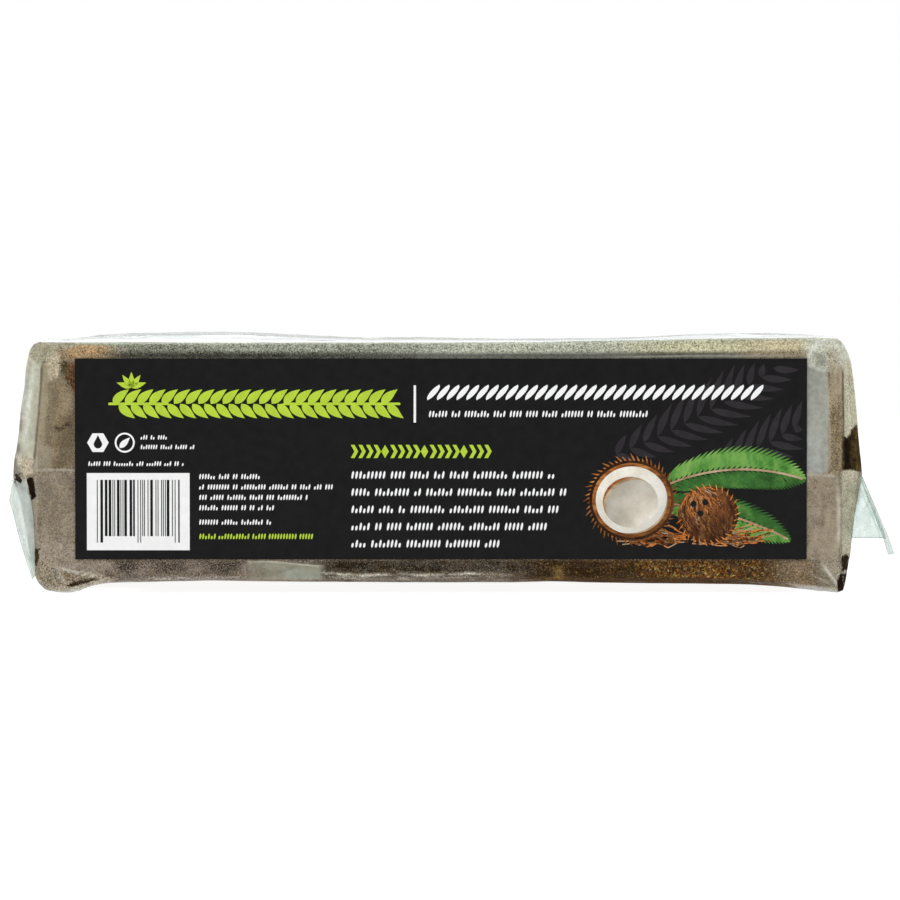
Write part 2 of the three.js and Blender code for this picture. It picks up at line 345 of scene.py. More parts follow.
# the floor is white translucent sheet lit a little from below, as for a cut-out picture
n = Nodes("floor_sheet")
v = n.object_coords()
g = n.noise(v, 6.0, 3)
col = n.mix(g, (0.29, 0.29, 0.287), (0.31, 0.31, 0.31))
p = n.principled(Base_Color=col, Roughness=0.9)
p.inputs["Specular IOR Level"].default_value = 0.0
p.inputs["Emission Color"].default_value = (1, 1, 1, 1)
ray = n.new("ShaderNodeLightPath")
place_y = n.new("ShaderNodeSeparateXYZ")
n.link(v, place_y.inputs[0])
away_r = n.math("SQRT", n.math("ADD", n.math("MULTIPLY", place_y.outputs["X"], place_y.outputs["X"]), n.math("MULTIPLY", place_y.outputs["Y"], place_y.outputs["Y"])))
facing_y = n.math("DIVIDE", place_y.outputs["Y"], n.math("MAXIMUM", away_r, 0.01))
dim = n.math("MULTIPLY", n.remap(facing_y, -0.25, 0.35, 0.88, 0.0), n.remap(away_r, 0.12, 0.5, 0.25, 1.0))
dim = n.math("ADD", 0.2, n.math("MULTIPLY", dim, 0.8))
dim = n.math("MULTIPLY", ray.outputs["Is Glossy Ray"], dim)
n.link(n.mix(dim, col, (0, 0, 0)), p.inputs["Base Color"])
n.link(n.math("MULTIPLY", 0.88, n.math("SUBTRACT", 1.0, dim)), p.inputs["Emission Strength"])
floor_mat = n.finish(p.outputs[0])
fm = bpy.data.meshes.new("floor")
fm.from_pydata([(-2.5, -2.5, 0), (2.5, -2.5, 0), (2.5, 2.5, 0), (-2.5, 2.5, 0)], [], [(0, 1, 2, 3)])
fm.materials.append(floor_mat)
floor = bpy.data.objects.new("floor", fm)
bpy.context.scene.collection.objects.link(floor)
floor.location.z = -0.0001

# ================================================================== the coir block
BOTTOM = table([(-102, 2.2), (-97, 1.5), (-93, 1.4), (-89, 2.2), (-86, 2.7), (-80, 3.1), (-70, 3.4), (-58, 3.6), (-45, 3.25),
                (-10, 3.1), (18, 3.1), (27, 3.35), (38, 3.1), (52, 2.9), (66, 2.75), (79, 2.5), (88, 1.85), (94, 1.2), (100, 0.8)])
CROWN = table([(-100, 62.3), (0, 62.2), (27, 62.35), (40, 62.5), (52, 62.8), (65, 63.05), (77, 63.2), (93, 63.4), (100, 63.2)])
TOP, HALF_D, HALF_L, BLOCK_X, ER, EZ = 62.5, 50.0, 100.8, -0.8, 4.0, 1.5


def spaced(half, edge, step):
    """Coordinates from -half to half, closer together in the rounded edge."""
    k = max(3, int(round(edge / step * 1.2)))
    inner = np.linspace(-half + edge, half - edge, int(round(2 * (half - edge) / step)) + 1)
    near = np.linspace(-half, -half + edge, k, endpoint=False)
    return np.concatenate([near, inner, -near[::-1]])


def box_grid(xs, ys, zs):
    """A closed box of quads over these coordinates."""
    index, pts, faces = {}, [], []

    def at(i, j, k):
        key = (i, j, k)
        if key not in index:
            index[key] = len(pts)
            pts.append((xs[i], ys[j], zs[k]))
        return index[key]

    nx, ny, nz = len(xs) - 1, len(ys) - 1, len(zs) - 1
    for i in range(nx):
        for j in range(ny):
            faces.append((at(i, j, 0), at(i, j + 1, 0), at(i + 1, j + 1, 0), at(i + 1, j, 0)))
            faces.append((at(i, j, nz), at(i + 1, j, nz), at(i + 1, j + 1, nz), at(i, j + 1, nz)))
        for k in range(nz):
            faces.append((at(i, 0, k), at(i + 1, 0, k), at(i + 1, 0, k + 1), at(i, 0, k + 1)))
            faces.append((at(i, ny, k), at(i, ny, k + 1), at(i + 1, ny, k + 1), at(i + 1, ny, k)))
    for j in range(ny):
        for k in range(nz):
            faces.append((at(0, j, k), at(0, j, k + 1), at(0, j + 1, k + 1), at(0, j + 1, k)))
            faces.append((at(nx, j, k), at(nx, j + 1, k), at(nx, j + 1, k + 1), at(nx, j, k + 1)))
    return np.array(pts), faces


def block_surface(q):
    """Points of a plain box of the block's size, taken to the block's real outer form, with the
    outward direction at each."""
    half_h = TOP / 2
    c = np.stack([
        np.clip(q[:, 0], -HALF_L + ER, HALF_L - ER),
        np.clip(q[:, 1], -HALF_D + ER, HALF_D - ER),
        np.clip(q[:, 2], -half_h + EZ, half_h - EZ),
    ], 1)
    r = np.array([ER, ER, EZ])
    d = (q - c) / r
    d /= np.linalg.norm(d, axis=1)[:, None]
    p = c + d * r
    out = d / np.linalg.norm(d, axis=1)[:, None]
    x = p[:, 0] + BLOCK_X
    low = BOTTOM(x)
    z = low + (CROWN(x) - low) * (p[:, 2] + half_h) / TOP
    belly = np.clip(np.abs(x) - 90, 0, None) / 10 * (1 - ((z - 31) / 31) ** 2) * (1 - 0.5 * (p[:, 1] / HALF_D) ** 2)
    x = x + np.where(x < 0, -0.8, 1.8) * belly
    return np.stack([x, p[:, 1], z], 1), out


def uneven(a, b, phase):
    return 0.5 + 0.25 * (np.sin(a * 0.083 + phase) * np.cos(b * 0.117 + phase * 1.7)
                         + np.sin(a * 0.041 - b * 0.073 + phase * 2.3))


q, block_faces = box_grid(spaced(HALF_L, ER, 1.06), spaced(HALF_D, ER, 1.06), spaced(TOP / 2, EZ, 1.0))
pts, out = block_surface(q)
edge_near = np.sort(np.stack([
    (HALF_L - np.abs(q[:, 0])), (HALF_D - np.abs(q[:, 1])), (TOP / 2 - np.abs(q[:, 2]))], 1), 1)[:, 1]
dip = 0.3 * (np.abs(out[:, 0]) * uneven(q[:, 1], q[:, 2], 0.4) + np.abs(out[:, 1]) * uneven(q[:, 0], q[:, 2], 1.9)
             + np.clip(out[:, 2], 0, None) * uneven(q[:, 0], q[:, 1], 3.1))
stretched = pts * np.array([0.55, 0.55, 1.0])
grain = 0.5 + 0.5 * fbm(pts, 2.6, 3, 5)
strata = 0.5 + 0.5 * fbm(stretched * np.array([0.25, 0.25, 1.0]), 3.0, 2, 31)
pits = smooth(0.42, 0.75, 0.5 + 0.5 * fbm(pts, 4.2, 2, 77))
crumble = smooth(3.2, 0.0, edge_near) * smooth(0.40, 0.80, 0.5 + 0.5 * fbm(pts, 7.0, 3, 91))
shown = (out[:, 1] < -0.3) & (pts[:, 2] < 20)
dip = dip + 0.42 * (1 - grain) + 0.2 * (1 - strata) + 0.42 * pits + np.where(shown, 0.6, 1.9) * crumble
pts = pts - out * dip[:, None]

n = Nodes("coir_pressed")
v = n.object_coords()
warp = n.noise(v, 300, 2)
pushed = n.new("ShaderNodeVectorMath", operation="ADD")
n.link(v, pushed.inputs[0])
shove = n.new("ShaderNodeVectorMath", operation="SCALE")
tex = n.new("ShaderNodeTexNoise")
tex.inputs["Scale"].default_value = 900
tex.inputs["Detail"].default_value = 2
n.link(v, tex.inputs["Vector"])
n.link(tex.outputs["Color"], shove.inputs[0])
shove.inputs["Scale"].default_value = 0.0009
n.link(shove.outputs[0], pushed.inputs[1])
vv = pushed.outputs[0]


def grain_layer(scale):
    """Random grey per grain, and how near a point is to the gap between grains."""
    pick = n.new("ShaderNodeSeparateColor")
    n.link(n.voronoi(vv, scale, "F1", "Color"), pick.inputs[0])
    return pick.outputs, n.voronoi(vv, scale, "DISTANCE_TO_EDGE")


big, big_gap = grain_layer(820)
small, small_gap = grain_layer(2050)
fine = n.noise(v, 2500, 3, 0.7)
mid = n.noise(v, 240, 4, 0.62)
broad = n.noise(v, 34, 3, 0.55)
fib_a = n.noise(n.object_coords((260, 1300, 2300), (0, 0.25, 0.15)), 1.0, 3, 0.55, 0.6)
fib_b = n.noise(n.object_coords((300, 1500, 2000), (0, -0.5, -0.2), (0.3, 0.1, 0.2)), 1.0, 3, 0.55, 0.8)
stops = [(0.0, rgb(18, 10, 4)), (0.18, rgb(50, 31, 15)), (0.40, rgb(90, 60, 32)), (0.58, rgb(124, 84, 44)),
         (0.74, rgb(164, 120, 70)), (0.88, rgb(210, 172, 116)), (1.0, rgb(242, 216, 168))]
base = n.mix(0.62, n.ramp(big[0], stops), n.ramp(small[1], stops))
tone = n.ramp(mid, [(0.28, rgb(46, 30, 16)), (0.5, rgb(100, 70, 40)), (0.72, rgb(170, 130, 82))])
col = n.mix(0.30, base, tone)
speck = n.ramp(fine, [(0.34, (0, 0, 0)), (0.5, (0.5, 0.5, 0.5)), (0.66, (1, 1, 1))])
col = n.mix(0.9, col, speck, "OVERLAY")
lumpy = n.noise(v, 760, 3, 0.6)
col = n.mix(1.0, col, n.ramp(lumpy, [(0.34, (0.62, 0.61, 0.60)), (0.5, (1.0, 1.0, 1.0)), (0.66, (1.34, 1.33, 1.30))]), "MULTIPLY")
# where it shows richest, a mix of near-black, rust and gold grains
rich_grain = n.ramp(small[2], [(0.0, rgb(24, 9, 2)), (0.18, rgb(66, 28, 5)), (0.30, rgb(150, 72, 18)), (0.52, rgb(178, 100, 34)),
                               (0.64, rgb(200, 138, 50)), (0.80, rgb(226, 172, 74)), (0.90, rgb(246, 206, 120)), (1.0, rgb(253, 224, 154))])
rich_grain = n.mix(0.9, rich_grain, speck, "OVERLAY")
col = n.mix(n.math("MULTIPLY", n.attribute("rich"), n.remap(mid, 0.3, 0.5, 0.85, 1.0)), col, rich_grain)
strand = n.ramp(n.math("MAXIMUM", fib_a, fib_b), [(0.62, (0, 0, 0)), (0.70, (1, 1, 1))])
col = n.mix(n.math("MULTIPLY", strand, 0.45), col, rgb(184, 146, 98))
gap = n.math("MINIMUM", big_gap, n.math("MULTIPLY", small_gap, 1.6))
pore = n.ramp(n.math("MULTIPLY", gap, n.remap(mid, 0.3, 0.7, 0.6, 1.6)), [(0.02, (0, 0, 0)), (0.14, (1, 1, 1))])
col = n.mix(pore, n.mix(0.7, col, rgb(20, 11, 5)), col)
col = n.mix(n.math("MULTIPLY", n.remap(broad, 0.3, 0.7, 0.0, 0.3), n.math("SUBTRACT", 1.0, n.attribute("rich"))), col, rgb(92, 66, 42))
# painted shade: darker in the pits, the crumbled edges and part of the lower front, with its bright grains kept
col = n.mix(n.math("MULTIPLY", n.attribute("painted_shade"), n.remap(fine, 0.53, 0.66, 1.0, 0.35)), col, rgb(22, 12, 5))
col = n.mix(n.math("MULTIPLY", n.attribute("ruddy"), n.remap(mid, 0.35, 0.6, 0.55, 1.0)), col,
            n.mix(speck, rgb(128, 66, 24), rgb(250, 186, 118)))
col = n.mix(n.attribute("warm"), col, (1.75, 1.38, 1.02), "MULTIPLY")
height = n.math("ADD", n.math("MULTIPLY", pore, 0.5), n.math("ADD", n.math("MULTIPLY", fine, 0.5), n.math("MULTIPLY", strand, 0.4)))
p = n.principled(Base_Color=col, Roughness=n.remap(fine, 0.3, 0.7, 0.88, 1.0), Normal=n.bump(height, 1.0, 0.0006))
p.inputs["Specular IOR Level"].default_value = 0.03
coir_mat = n.finish(p.outputs[0])

block = make("coir_block_body", pts, block_faces, coir_mat)
# the richest, least veiled coir shows along the lower right; painted shade darkens the pits and the crumbled edges, and
# part of the lower front
rich = smooth(18, 32, pts[:, 0]) * smooth(92, 78, pts[:, 0]) * smooth(12, 6, pts[:, 2]) * (pts[:, 1] < -40)
paint(block, "rich", rich)
shade = 0.86 * smooth(18, 26, pts[:, 0]) * smooth(54, 44, pts[:, 0]) * smooth(12, 6, pts[:, 2]) * (pts[:, 1] < -40)
paint(block, "painted_shade", np.clip(0.5 * pits * (1 - grain) * 2 + 0.6 * crumble + shade * (0.75 + 0.5 * fbm(pts, 2.4, 2, 14)), 0, 1))
corner = np.linalg.norm((pts - np.array((-87.5, -50, 60.4))) / np.array((8.5, 8, 3.4)), axis=1)
side = np.linalg.norm((pts - np.array((-92.6, -50, 53.5))) / np.array((2.2, 8, 5.0)), axis=1)
rust = np.maximum(smooth(1.6, 0.4, corner), 0.7 * smooth(1.6, 0.2, side)) * smooth(-0.7, 0.3, fbm(pts, 2.2, 3, 12) + 0.3)
paint(block, "ruddy", 0.95 * np.clip(rust, 0, 1))
# the front has dulled under its label; the other faces keep the fresher brown
paint(block, "warm", smooth(-47.5, -43, pts[:, 1]))
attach(block, "root")
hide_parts("coir_block")


# ------------------------------------------------------------------ fibres and crumbs
def surface_point(face):
    """A random place on a face of the block and its outward direction."""
    u, w = random.uniform(-1, 1), random.uniform(-1, 1)
    q1 = {
        "front": (u * HALF_L, -HALF_D, w * TOP / 2), "back": (u * HALF_L, HALF_D, w * TOP / 2),
        "left": (-HALF_L, u * HALF_D, w * TOP / 2), "right": (HALF_L, u * HALF_D, w * TOP / 2),
        "top": (u * HALF_L, w * HALF_D, TOP / 2), "under": (u * HALF_L, w * HALF_D, -TOP / 2),
    }[face]
    p1, o1 = block_surface(np.array([q1]))
    return p1[0], o1[0]


FACE_AXES = {"front": (0, 2), "back": (0, 2), "left": (1, 2), "right": (1, 2), "top": (0, 1), "under": (0, 1)}
tube_pts, tube_faces, tube_tone = [], [], []


def add_tube(line, radius, tone):
    """A thin three-sided strand along a line of points, pointed at both ends."""
    start = len(tube_pts)
    m = len(line)
    for i, c in enumerate(line):
        a = line[min(i + 1, m - 1)] - line[max(i - 1, 0)]
        a = a / (np.linalg.norm(a) + 1e-9)
        side = np.cross(a, np.array([0.31, 0.52, 0.79]))
        side /= np.linalg.norm(side) + 1e-9
        up = np.cross(a, side)
        r = radius * (0.25 if i in (0, m - 1) else 1.0)
        for k in range(3):
            t = 2 * math.pi * k / 3
            tube_pts.append(c + r * (math.cos(t) * side + math.sin(t) * up))
            tube_tone.append(tone)
    for i in range(m - 1):
        for k in range(3):
            a0, a1 = start + 3 * i + k, start + 3 * i + (k + 1) % 3
            tube_faces.append((a0, a1, a1 + 3, a0 + 3))
    tube_faces.append((start + 2, start + 1, start))
    e = start + 3 * (m - 1)
    tube_faces.append((e, e + 1, e + 2))


for face, count in (("front", 420), ("back", 620), ("left", 360), ("right", 360), ("top", 1150), ("under", 160)):
    a0, a1 = FACE_AXES[face]
    for _ in range(count):
        c, o = surface_point(face)
        angle = random.gauss(0, 0.7)
        length = random.choice((3, 4, 6) if face == "front" else (3, 5, 7, 9, 12, 16)) * random.uniform(0.6, 1.2)
        steps = 7
        bend = random.gauss(0, 0.12)
        step = length / (steps - 1)
        line = []
        x = np.array(c, float)
        for i in range(steps):
            sunk = -0.32 + 0.38 * math.sin(math.pi * i / (steps - 1)) * random.uniform(0.6, 1.0)
            line.append(x + o * sunk)
            d = np.zeros(3)
            d[a0], d[a1] = math.cos(angle), math.sin(angle)
            x = x + d * step
            angle += bend + random.gauss(0, 0.1)
        line = np.array(line)
        # a strand that would run past an edge is left out
        if (np.abs(line[:, 0] - BLOCK_X) > HALF_L - 1.2).any() and face not in ("left", "right"):
            continue
        if (np.abs(line[:, 1]) > HALF_D - 1.2).any() and face not in ("front", "back"):
            continue
        if face not in ("top", "under") and ((line[:, 2] > TOP - 1.2) | (line[:, 2] < BOTTOM(line[:, 0]) + 1.2)).any():
            continue
        add_tube(line, random.uniform(0.035, 0.07) if face == "front" else random.uniform(0.05, 0.11),
                 random.uniform(0, 0.6) if face == "front" else random.random())

n = Nodes("coir_fibre")
v = n.object_coords()
tone = n.ramp(n.attribute("tone"), [(0.0, rgb(74, 50, 30)), (0.4, rgb(128, 92, 56)), (0.75, rgb(168, 132, 86)), (1.0, rgb(198, 168, 122))])
col = n.mix(n.remap(n.noise(v, 900, 3), 0.35, 0.7, 0.0, 0.45), tone, rgb(82, 52, 28))
p = n.principled(Base_Color=col, Roughness=n.remap(n.noise(v, 600, 2), 0.3, 0.7, 0.6, 0.9), Normal=n.bump(n.noise(v, 3000, 2), 0.4, 0.0001))
p.inputs["Specular IOR Level"].default_value = 0.3
fibre_mat = n.finish(p.outputs[0])
fibres = make("coir_fibres", tube_pts, tube_faces, fibre_mat)
paint(fibres, "tone", tube_tone)
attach(fibres, "root")

GRAIN = np.array([(1, 0, 0), (-1, 0, 0), (0, 1, 0), (0, -1, 0), (0, 0, 1), (0, 0, -1)], float)
GRAIN_FACES = [(0, 2, 4), (2, 1, 4), (1, 3, 4), (3, 0, 4), (2, 0, 5), (1, 2, 5), (3, 1, 5), (0, 3, 5)]
crumb_pts, crumb_faces, crumb_tone = [], [], []


def turned(axis, angle):
    c, s = math.cos(angle), math.sin(angle)
    x, y, z = axis
    return ((c + x * x * (1 - c), x * y * (1 - c) - z * s, x * z * (1 - c) + y * s),
            (y * x * (1 - c) + z * s, c + y * y * (1 - c), y * z * (1 - c) - x * s),
            (z * x * (1 - c) - y * s, z * y * (1 - c) + x * s, c + z * z * (1 - c)))


def add_crumb(c, size, tone):
    start = len(crumb_pts)
    stretch = np.array([random.uniform(0.6, 1.6), random.uniform(0.6, 1.3), random.uniform(0.5, 1.2)])
    turn = Vector((random.random(), random.random(), random.random())).normalized()
    ang = random.uniform(0, math.pi)
    rot = np.array(turned(turn, ang))
    for g0 in GRAIN:
        crumb_pts.append(np.array(c) + rot @ (g0 * stretch * size * random.uniform(0.7, 1.2)))
        crumb_tone.append(tone)
    for f in GRAIN_FACES:
        crumb_faces.append(tuple(start + i for i in f))


def cluster(lo, hi, count, size, tone, shear=(0, 0)):
    """Loose coir gathered in a pocket of the film; dark clusters also stand in for the shade in the folds where they
    lie.
    """
    for _ in range(count):
        f = [random.betavariate(1.6, 1.6) for _ in range(3)]
        x = lo[0] + (hi[0] - lo[0]) * f[0] + shear[0] * (f[2] - 0.5)
        y = lo[1] + (hi[1] - lo[1]) * f[1]
        z = lo[2] + (hi[2] - lo[2]) * f[2] + shear[1] * (f[0] - 0.5)
        add_crumb((x, y, z), random.uniform(*size), min(1, max(0, random.gauss(tone, 0.18))))


# loose grains on every face of the block
for face, count in (("front", 520), ("back", 380), ("left", 240), ("right", 240), ("top", 620), ("under", 60)):
    for _ in range(count):
        c, o = surface_point(face)
        add_crumb(c - o * 0.15, random.uniform(0.16, 0.42), random.random())
# and clusters of them in the film's ends and folds: the dark ones in the end folds and the lower front corners stand in
# for the shade there as well as for loose coir
cluster((100.4, -47.5, 30.5), (103.9, -38, 41.0), 420, (0.3, 0.75), 0.12)
cluster((99.0, -49.2, 2.0), (100.3, -43, 8.6), 130, (0.25, 0.5), 0.1)
cluster((-106.2, -44.5, 27.0), (-104.3, -38, 30.4), 90, (0.25, 0.5), 0.12)
cluster((-103.9, -48.2, 23.5), (-102.2, -42, 28.6), 120, (0.25, 0.5), 0.1, (-0.9, 0))
cluster((-102.3, -49.0, 7.6), (-101.2, -43, 11.4), 70, (0.25, 0.5), 0.1)
cluster((-95.0, -49.7, 1.6), (-88.5, -46, 4.0), 130, (0.22, 0.45), 0.25)
cluster((100.4, -44, 6.0), (101.1, 44, 26), 260, (0.16, 0.4), 0.4)
cluster((-103.1, -44, 10.0), (-102.2, 44, 26), 260, (0.16, 0.4), 0.4)

n = Nodes("coir_crumb")
v = n.object_coords()
tone = n.ramp(n.attribute("tone"), [(0.0, rgb(38, 22, 10)), (0.35, rgb(74, 46, 26)), (0.7, rgb(122, 86, 52)), (1.0, rgb(172, 138, 96))])
col = n.mix(n.remap(n.noise(v, 1600, 3), 0.35, 0.7, 0.0, 0.6), tone, rgb(48, 28, 14))
p = n.principled(Base_Color=col, Roughness=n.remap(n.noise(v, 900, 2), 0.3, 0.7, 0.85, 1.0), Normal=n.bump(n.noise(v, 2600, 3), 0.6, 0.0002))
p.inputs["Specular IOR Level"].default_value = 0.12
crumb_mat = n.finish(p.outputs[0])
crumbs = make("coir_crumbs", crumb_pts, crumb_faces, crumb_mat, smooth_shade=False)
paint(crumbs, "tone", crumb_tone)
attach(crumbs, "root")

# ================================================================== the film
HALF_F = 50.72
# the film's outline in the front view, from the seal round to the panel: top then bottom, (x, z)
LEFT_TOP = [(-107.8, 28.5), (-107.8, 31), (-107.6, 33.6), (-107.0, 36), (-106.35, 40), (-105.85, 45.5), (-105.3, 49),
            (-104.7, 52), (-104.4, 56.5), (-103.8, 59.2), (-103.2, 61.0), (-102.3, 62.1), (-101.0, 62.6), (-98, 62.8)]
LEFT_LOW = [(-107.7, 27.7), (-107.3, 26.2), (-106.6, 24.4), (-105.9, 22.3), (-105.0, 18.4), (-104.1, 13.6),
            (-103.3, 9), (-102.5, 5.6), (-101.7, 3.5), (-101.0, 2.4), (-100.0, 1.4), (-99.0, 0.75), (-98, 0.4)]
RIGHT_TOP = [(105.5, 28.8), (105.5, 31), (105.0, 35), (104.5, 39.5), (104.2, 43.8), (103.6, 49.5), (103.1, 54),
             (102.5, 57.8), (101.8, 59.8), (100.8, 61.7), (99.7, 63.0), (98.4, 63.6), (97, 63.75)]
RIGHT_LOW = [(105.4, 28.0), (104.9, 25.8), (104.2, 22.4), (103.4, 18.2), (102.8, 13.6), (102.3, 9.4), (101.45, 5),
             (100.9, 2.0), (100.4, 0.5), (99.2, 0.0), (97, 0.2)]
UNDER = table([(-98, 0.4), (-96.5, 0.1), (-95, 0), (-93, 0), (-91.5, 0.35), (-89, 1.4), (-86.5, 2.15), (-84, 2.5), (-80, 2.65), (-70, 2.85),
               (-58, 3.0), (-45, 2.75), (-10, 2.6), (18, 2.65), (27, 2.9), (38, 2.65), (52, 2.4), (66, 2.3), (77, 2.1), (82, 1.8),
               (87, 1.4), (89.5, 1.15), (92, 0.9), (94.5, 0.5), (97, 0.2)])
PUFF = table([(-102, 0), (-96.5, 0.6), (-87, 1.9), (-65, 2.5), (-50, 2.3), (-35, 1.6), (-20, 0.9), (-5, 1.15),
              (10, 0.8), (24, 0.5), (39, 0.45), (54, 0.7), (69, 1.2), (84, 1.3), (92, 0.9), (98, 0.5), (101, 0)])
CEILING = table([(-98, 62.8), (0, 62.7), (27, 62.8), (40, 63.0), (52, 63.25), (65, 63.5), (77, 63.65), (93, 63.85), (97, 63.75)])


def along(curve, count):
    """count points along a curve of (x, z), closer together where x changes than where z does."""
    c = np.array(curve, float)
    d = np.diff(c, axis=0)
    s = np.concatenate([[0], np.cumsum(np.hypot(1.5 * d[:, 0], 0.55 * d[:, 1]))])
    t = np.linspace(0, s[-1], count)
    return np.stack([np.interp(t, s, c[:, 0]), np.interp(t, s, c[:, 1])], 1)


mid_x = np.concatenate([np.linspace(-98, -91, 18)[1:], np.linspace(-91, 91, 98)[1:], np.linspace(91, 97, 16)[1:-1]])
END, MID = 59, len(mid_x)
top_line = np.concatenate([along(LEFT_TOP, END), np.stack([mid_x, CEILING(mid_x)], 1), along(RIGHT_TOP, END)[::-1]])
low_line = np.concatenate([along(LEFT_LOW, END), np.stack([mid_x, UNDER(mid_x)], 1), along(RIGHT_LOW, END)[::-1]])
RINGS = len(top_line)


def half_depth(x, z, back):
    """Half the wrap's depth there: it turns in at a crease by each upright edge of the block."""
    crease_l = -99.9 - 1.5 * np.clip((60 - z) / 32, 0, 1) + 0.9 * np.clip((22 - z) / 22, 0, 1)
    crease_r = 98.9 + 1.0 * np.clip((60 - z) / 34, 0, 1) - 0.4 * np.clip((12 - z) / 12, 0, 1)
    l = np.clip(crease_l - x, 0, None)
    r = np.clip(x - crease_r, 0, None)
    k = 0.95 if back else 1.0
    return HALF_F - k * (l * 0.86 + 0.02 * l**2 + r * 0.92 + 0.01 * r**2)


SIDES = [("low_front", 5), ("under", 60), ("low_back", 5), ("back", 42), ("up_back", 5), ("top", 78), ("up_front", 6), ("front", 184)]
NV = sum(c for _, c in SIDES)
film = np.zeros((RINGS, NV, 3))
film_side = []
j = 0
for name, count in SIDES:
    for i in range(count):
        t = i / count
        xt, zt = top_line[:, 0], top_line[:, 1]
        xl, zl = low_line[:, 0], low_line[:, 1]
        r = np.clip((zt - zl) * 0.3, 0.1, 1.3)
        def place(kx, z, y):
            film[:, j, 0], film[:, j, 1], film[:, j, 2] = kx, y, z
        if name in ("front", "back"):
            s = 1 - t if name == "front" else t
            z = zl + r + (zt - zl - 2 * r) * s
            share = (z - zl) / np.maximum(zt - zl, 1e-6)
            x = xl + (xt - xl) * share
            h = half_depth(x, z, name == "back")
            place(x, z, -h if name == "front" else h)
        elif name in ("top", "under"):
            s = t if name == "under" else 1 - t
            x, z0 = (xt, zt) if name == "top" else (xl, zl)
            hf, hb = half_depth(x, z0, False), half_depth(x, z0, True)
            y = -hf + r + (hf + hb - 2 * r) * s
            z = z0 + (PUFF(x) * (4 * s * (1 - s)) ** 0.8 if name == "top" else 0)
            place(x, z, y)
        else:
            a = {"low_front": math.pi, "low_back": 1.5 * math.pi, "up_back": 0.0, "up_front": 0.5 * math.pi}[name] + 0.5 * math.pi * t
            low = name.startswith("low")
            x, z0 = (xl, zl) if low else (xt, zt)
            front = name.endswith("front")
            h = half_depth(x, z0, not front)
            cy = (-h + r) if front else (h - r)
            cz = z0 + r if low else z0 - r
            place(x, cz + r * math.sin(a), cy + r * math.cos(a))
        film_side.append(name)
        j += 1
film_side = np.array(film_side)


def grid_normals(g):
    du = np.gradient(g, axis=0)
    dv = (np.roll(g, -1, axis=1) - np.roll(g, 1, axis=1)) / 2
    nrm = np.cross(dv, du)
    nrm /= np.linalg.norm(nrm, axis=2)[:, :, None] + 1e-12
    return nrm


def blur(a, times=2):
    for _ in range(times):
        a = (a + np.roll(a, 1, 1) + np.roll(a, -1, 1)) / 3
        b = a.copy()
        b[1:-1] = (a[:-2] + a[1:-1] + a[2:]) / 3
        a = b
    return a


fn = grid_normals(film)
if (fn[RINGS // 2, NV - 30] @ np.array([0, -1, 0])) < 0:
    fn = -fn
fn = blur(fn, 2)
fn /= np.linalg.norm(fn, axis=2)[:, :, None] + 1e-12
P = film.reshape(-1, 3)
N = fn.reshape(-1, 3)
side_of = np.tile(film_side, RINGS)
X, Y, Z = P[:, 0], P[:, 1], P[:, 2]
on_front = (side_of == "front") | (side_of == "up_front") | (side_of == "low_front")
on_top = (side_of == "top")
on_under = side_of == "under"
end_l, end_r = smooth(-98.5, -101.5, X), smooth(97.5, 100.5, X)
end = np.maximum(end_l, end_r)
under_label = smooth(93.4, 91.8, np.abs(X + 0.1)) * smooth(7.2, 8.6, Z) * smooth(60.2, 58.6, Z) * (Y < -49)


def to_line(p, line):
    """Distance from each point to a line of points, and how far along it that is, 0 to 1."""
    line = np.array(line, float)
    best, where = np.full(len(p), 1e9), np.zeros(len(p))
    seg = np.linalg.norm(np.diff(line, axis=0), axis=1)
    total, done = seg.sum(), 0.0
    for a, b, s in zip(line[:-1], line[1:], seg):
        ab = b - a
        t = np.clip(((p - a) @ ab) / (ab @ ab), 0, 1)
        d = np.linalg.norm(p - (a + t[:, None] * ab), axis=1)
        near = d < best
        best = np.where(near, d, best)
        where = np.where(near, (done + t * s) / total, where)
        done += s
    return best, where


F = FRONT
lift = np.zeros(len(P))
crease_highlight = np.zeros(len(P))


def crease(line, width, height, white=0.4, mask=None, fade=True, drop=None):
    """A raised fold along a line, narrow at the top, that fades out to its ends, with a painted highlight (white) along
    its crest. drop leaves one direction out of the distance, so that the fold follows the surface whatever its height."""
    global lift, crease_highlight
    p, line = P, np.array(line, float)
    if drop is not None:
        p, line = P.copy(), line.copy()
        p[:, drop] = 0
        line[:, drop] = 0
    d, t = to_line(p, line)
    k = np.clip(1 - d / width, 0, 1) ** 1.6
    if fade:
        k = k * np.sin(np.pi * np.clip(0.08 + 0.9 * t, 0, 1)) ** 0.6
    if mask is not None:
        k = k * mask
    lift = lift + height * k
    crease_highlight = np.maximum(crease_highlight, white * np.clip(1 - d / (width * 0.55), 0, 1) * (k > 0.02))


# slow billowing, less where the label holds the film flat
lift += (1 - under_label) * (0.16 * fbm(P, 26, 2, 3) + 0.10 * fbm(P * np.array([1, 1, 2.2]), 9, 2, 8) + 0.12)
ridge = 1 - np.abs(value_noise(P * np.array([0.12, 1, 0]) + 0.35 * fbm(P, 22, 2, 18)[:, None], 5.5, 19))
band = smooth(14, 34, np.abs(Y)) * smooth(-0.5, 0.4, fbm(P * np.array([1, 0.6, 0]), 30, 2, 20))
lift += on_top * (0.30 * fbm(P * np.array([0.45, 1.5, 1]), 15, 3, 15) + 0.42 * ridge**4 * (0.25 + band))
lift += on_under * (-0.10)
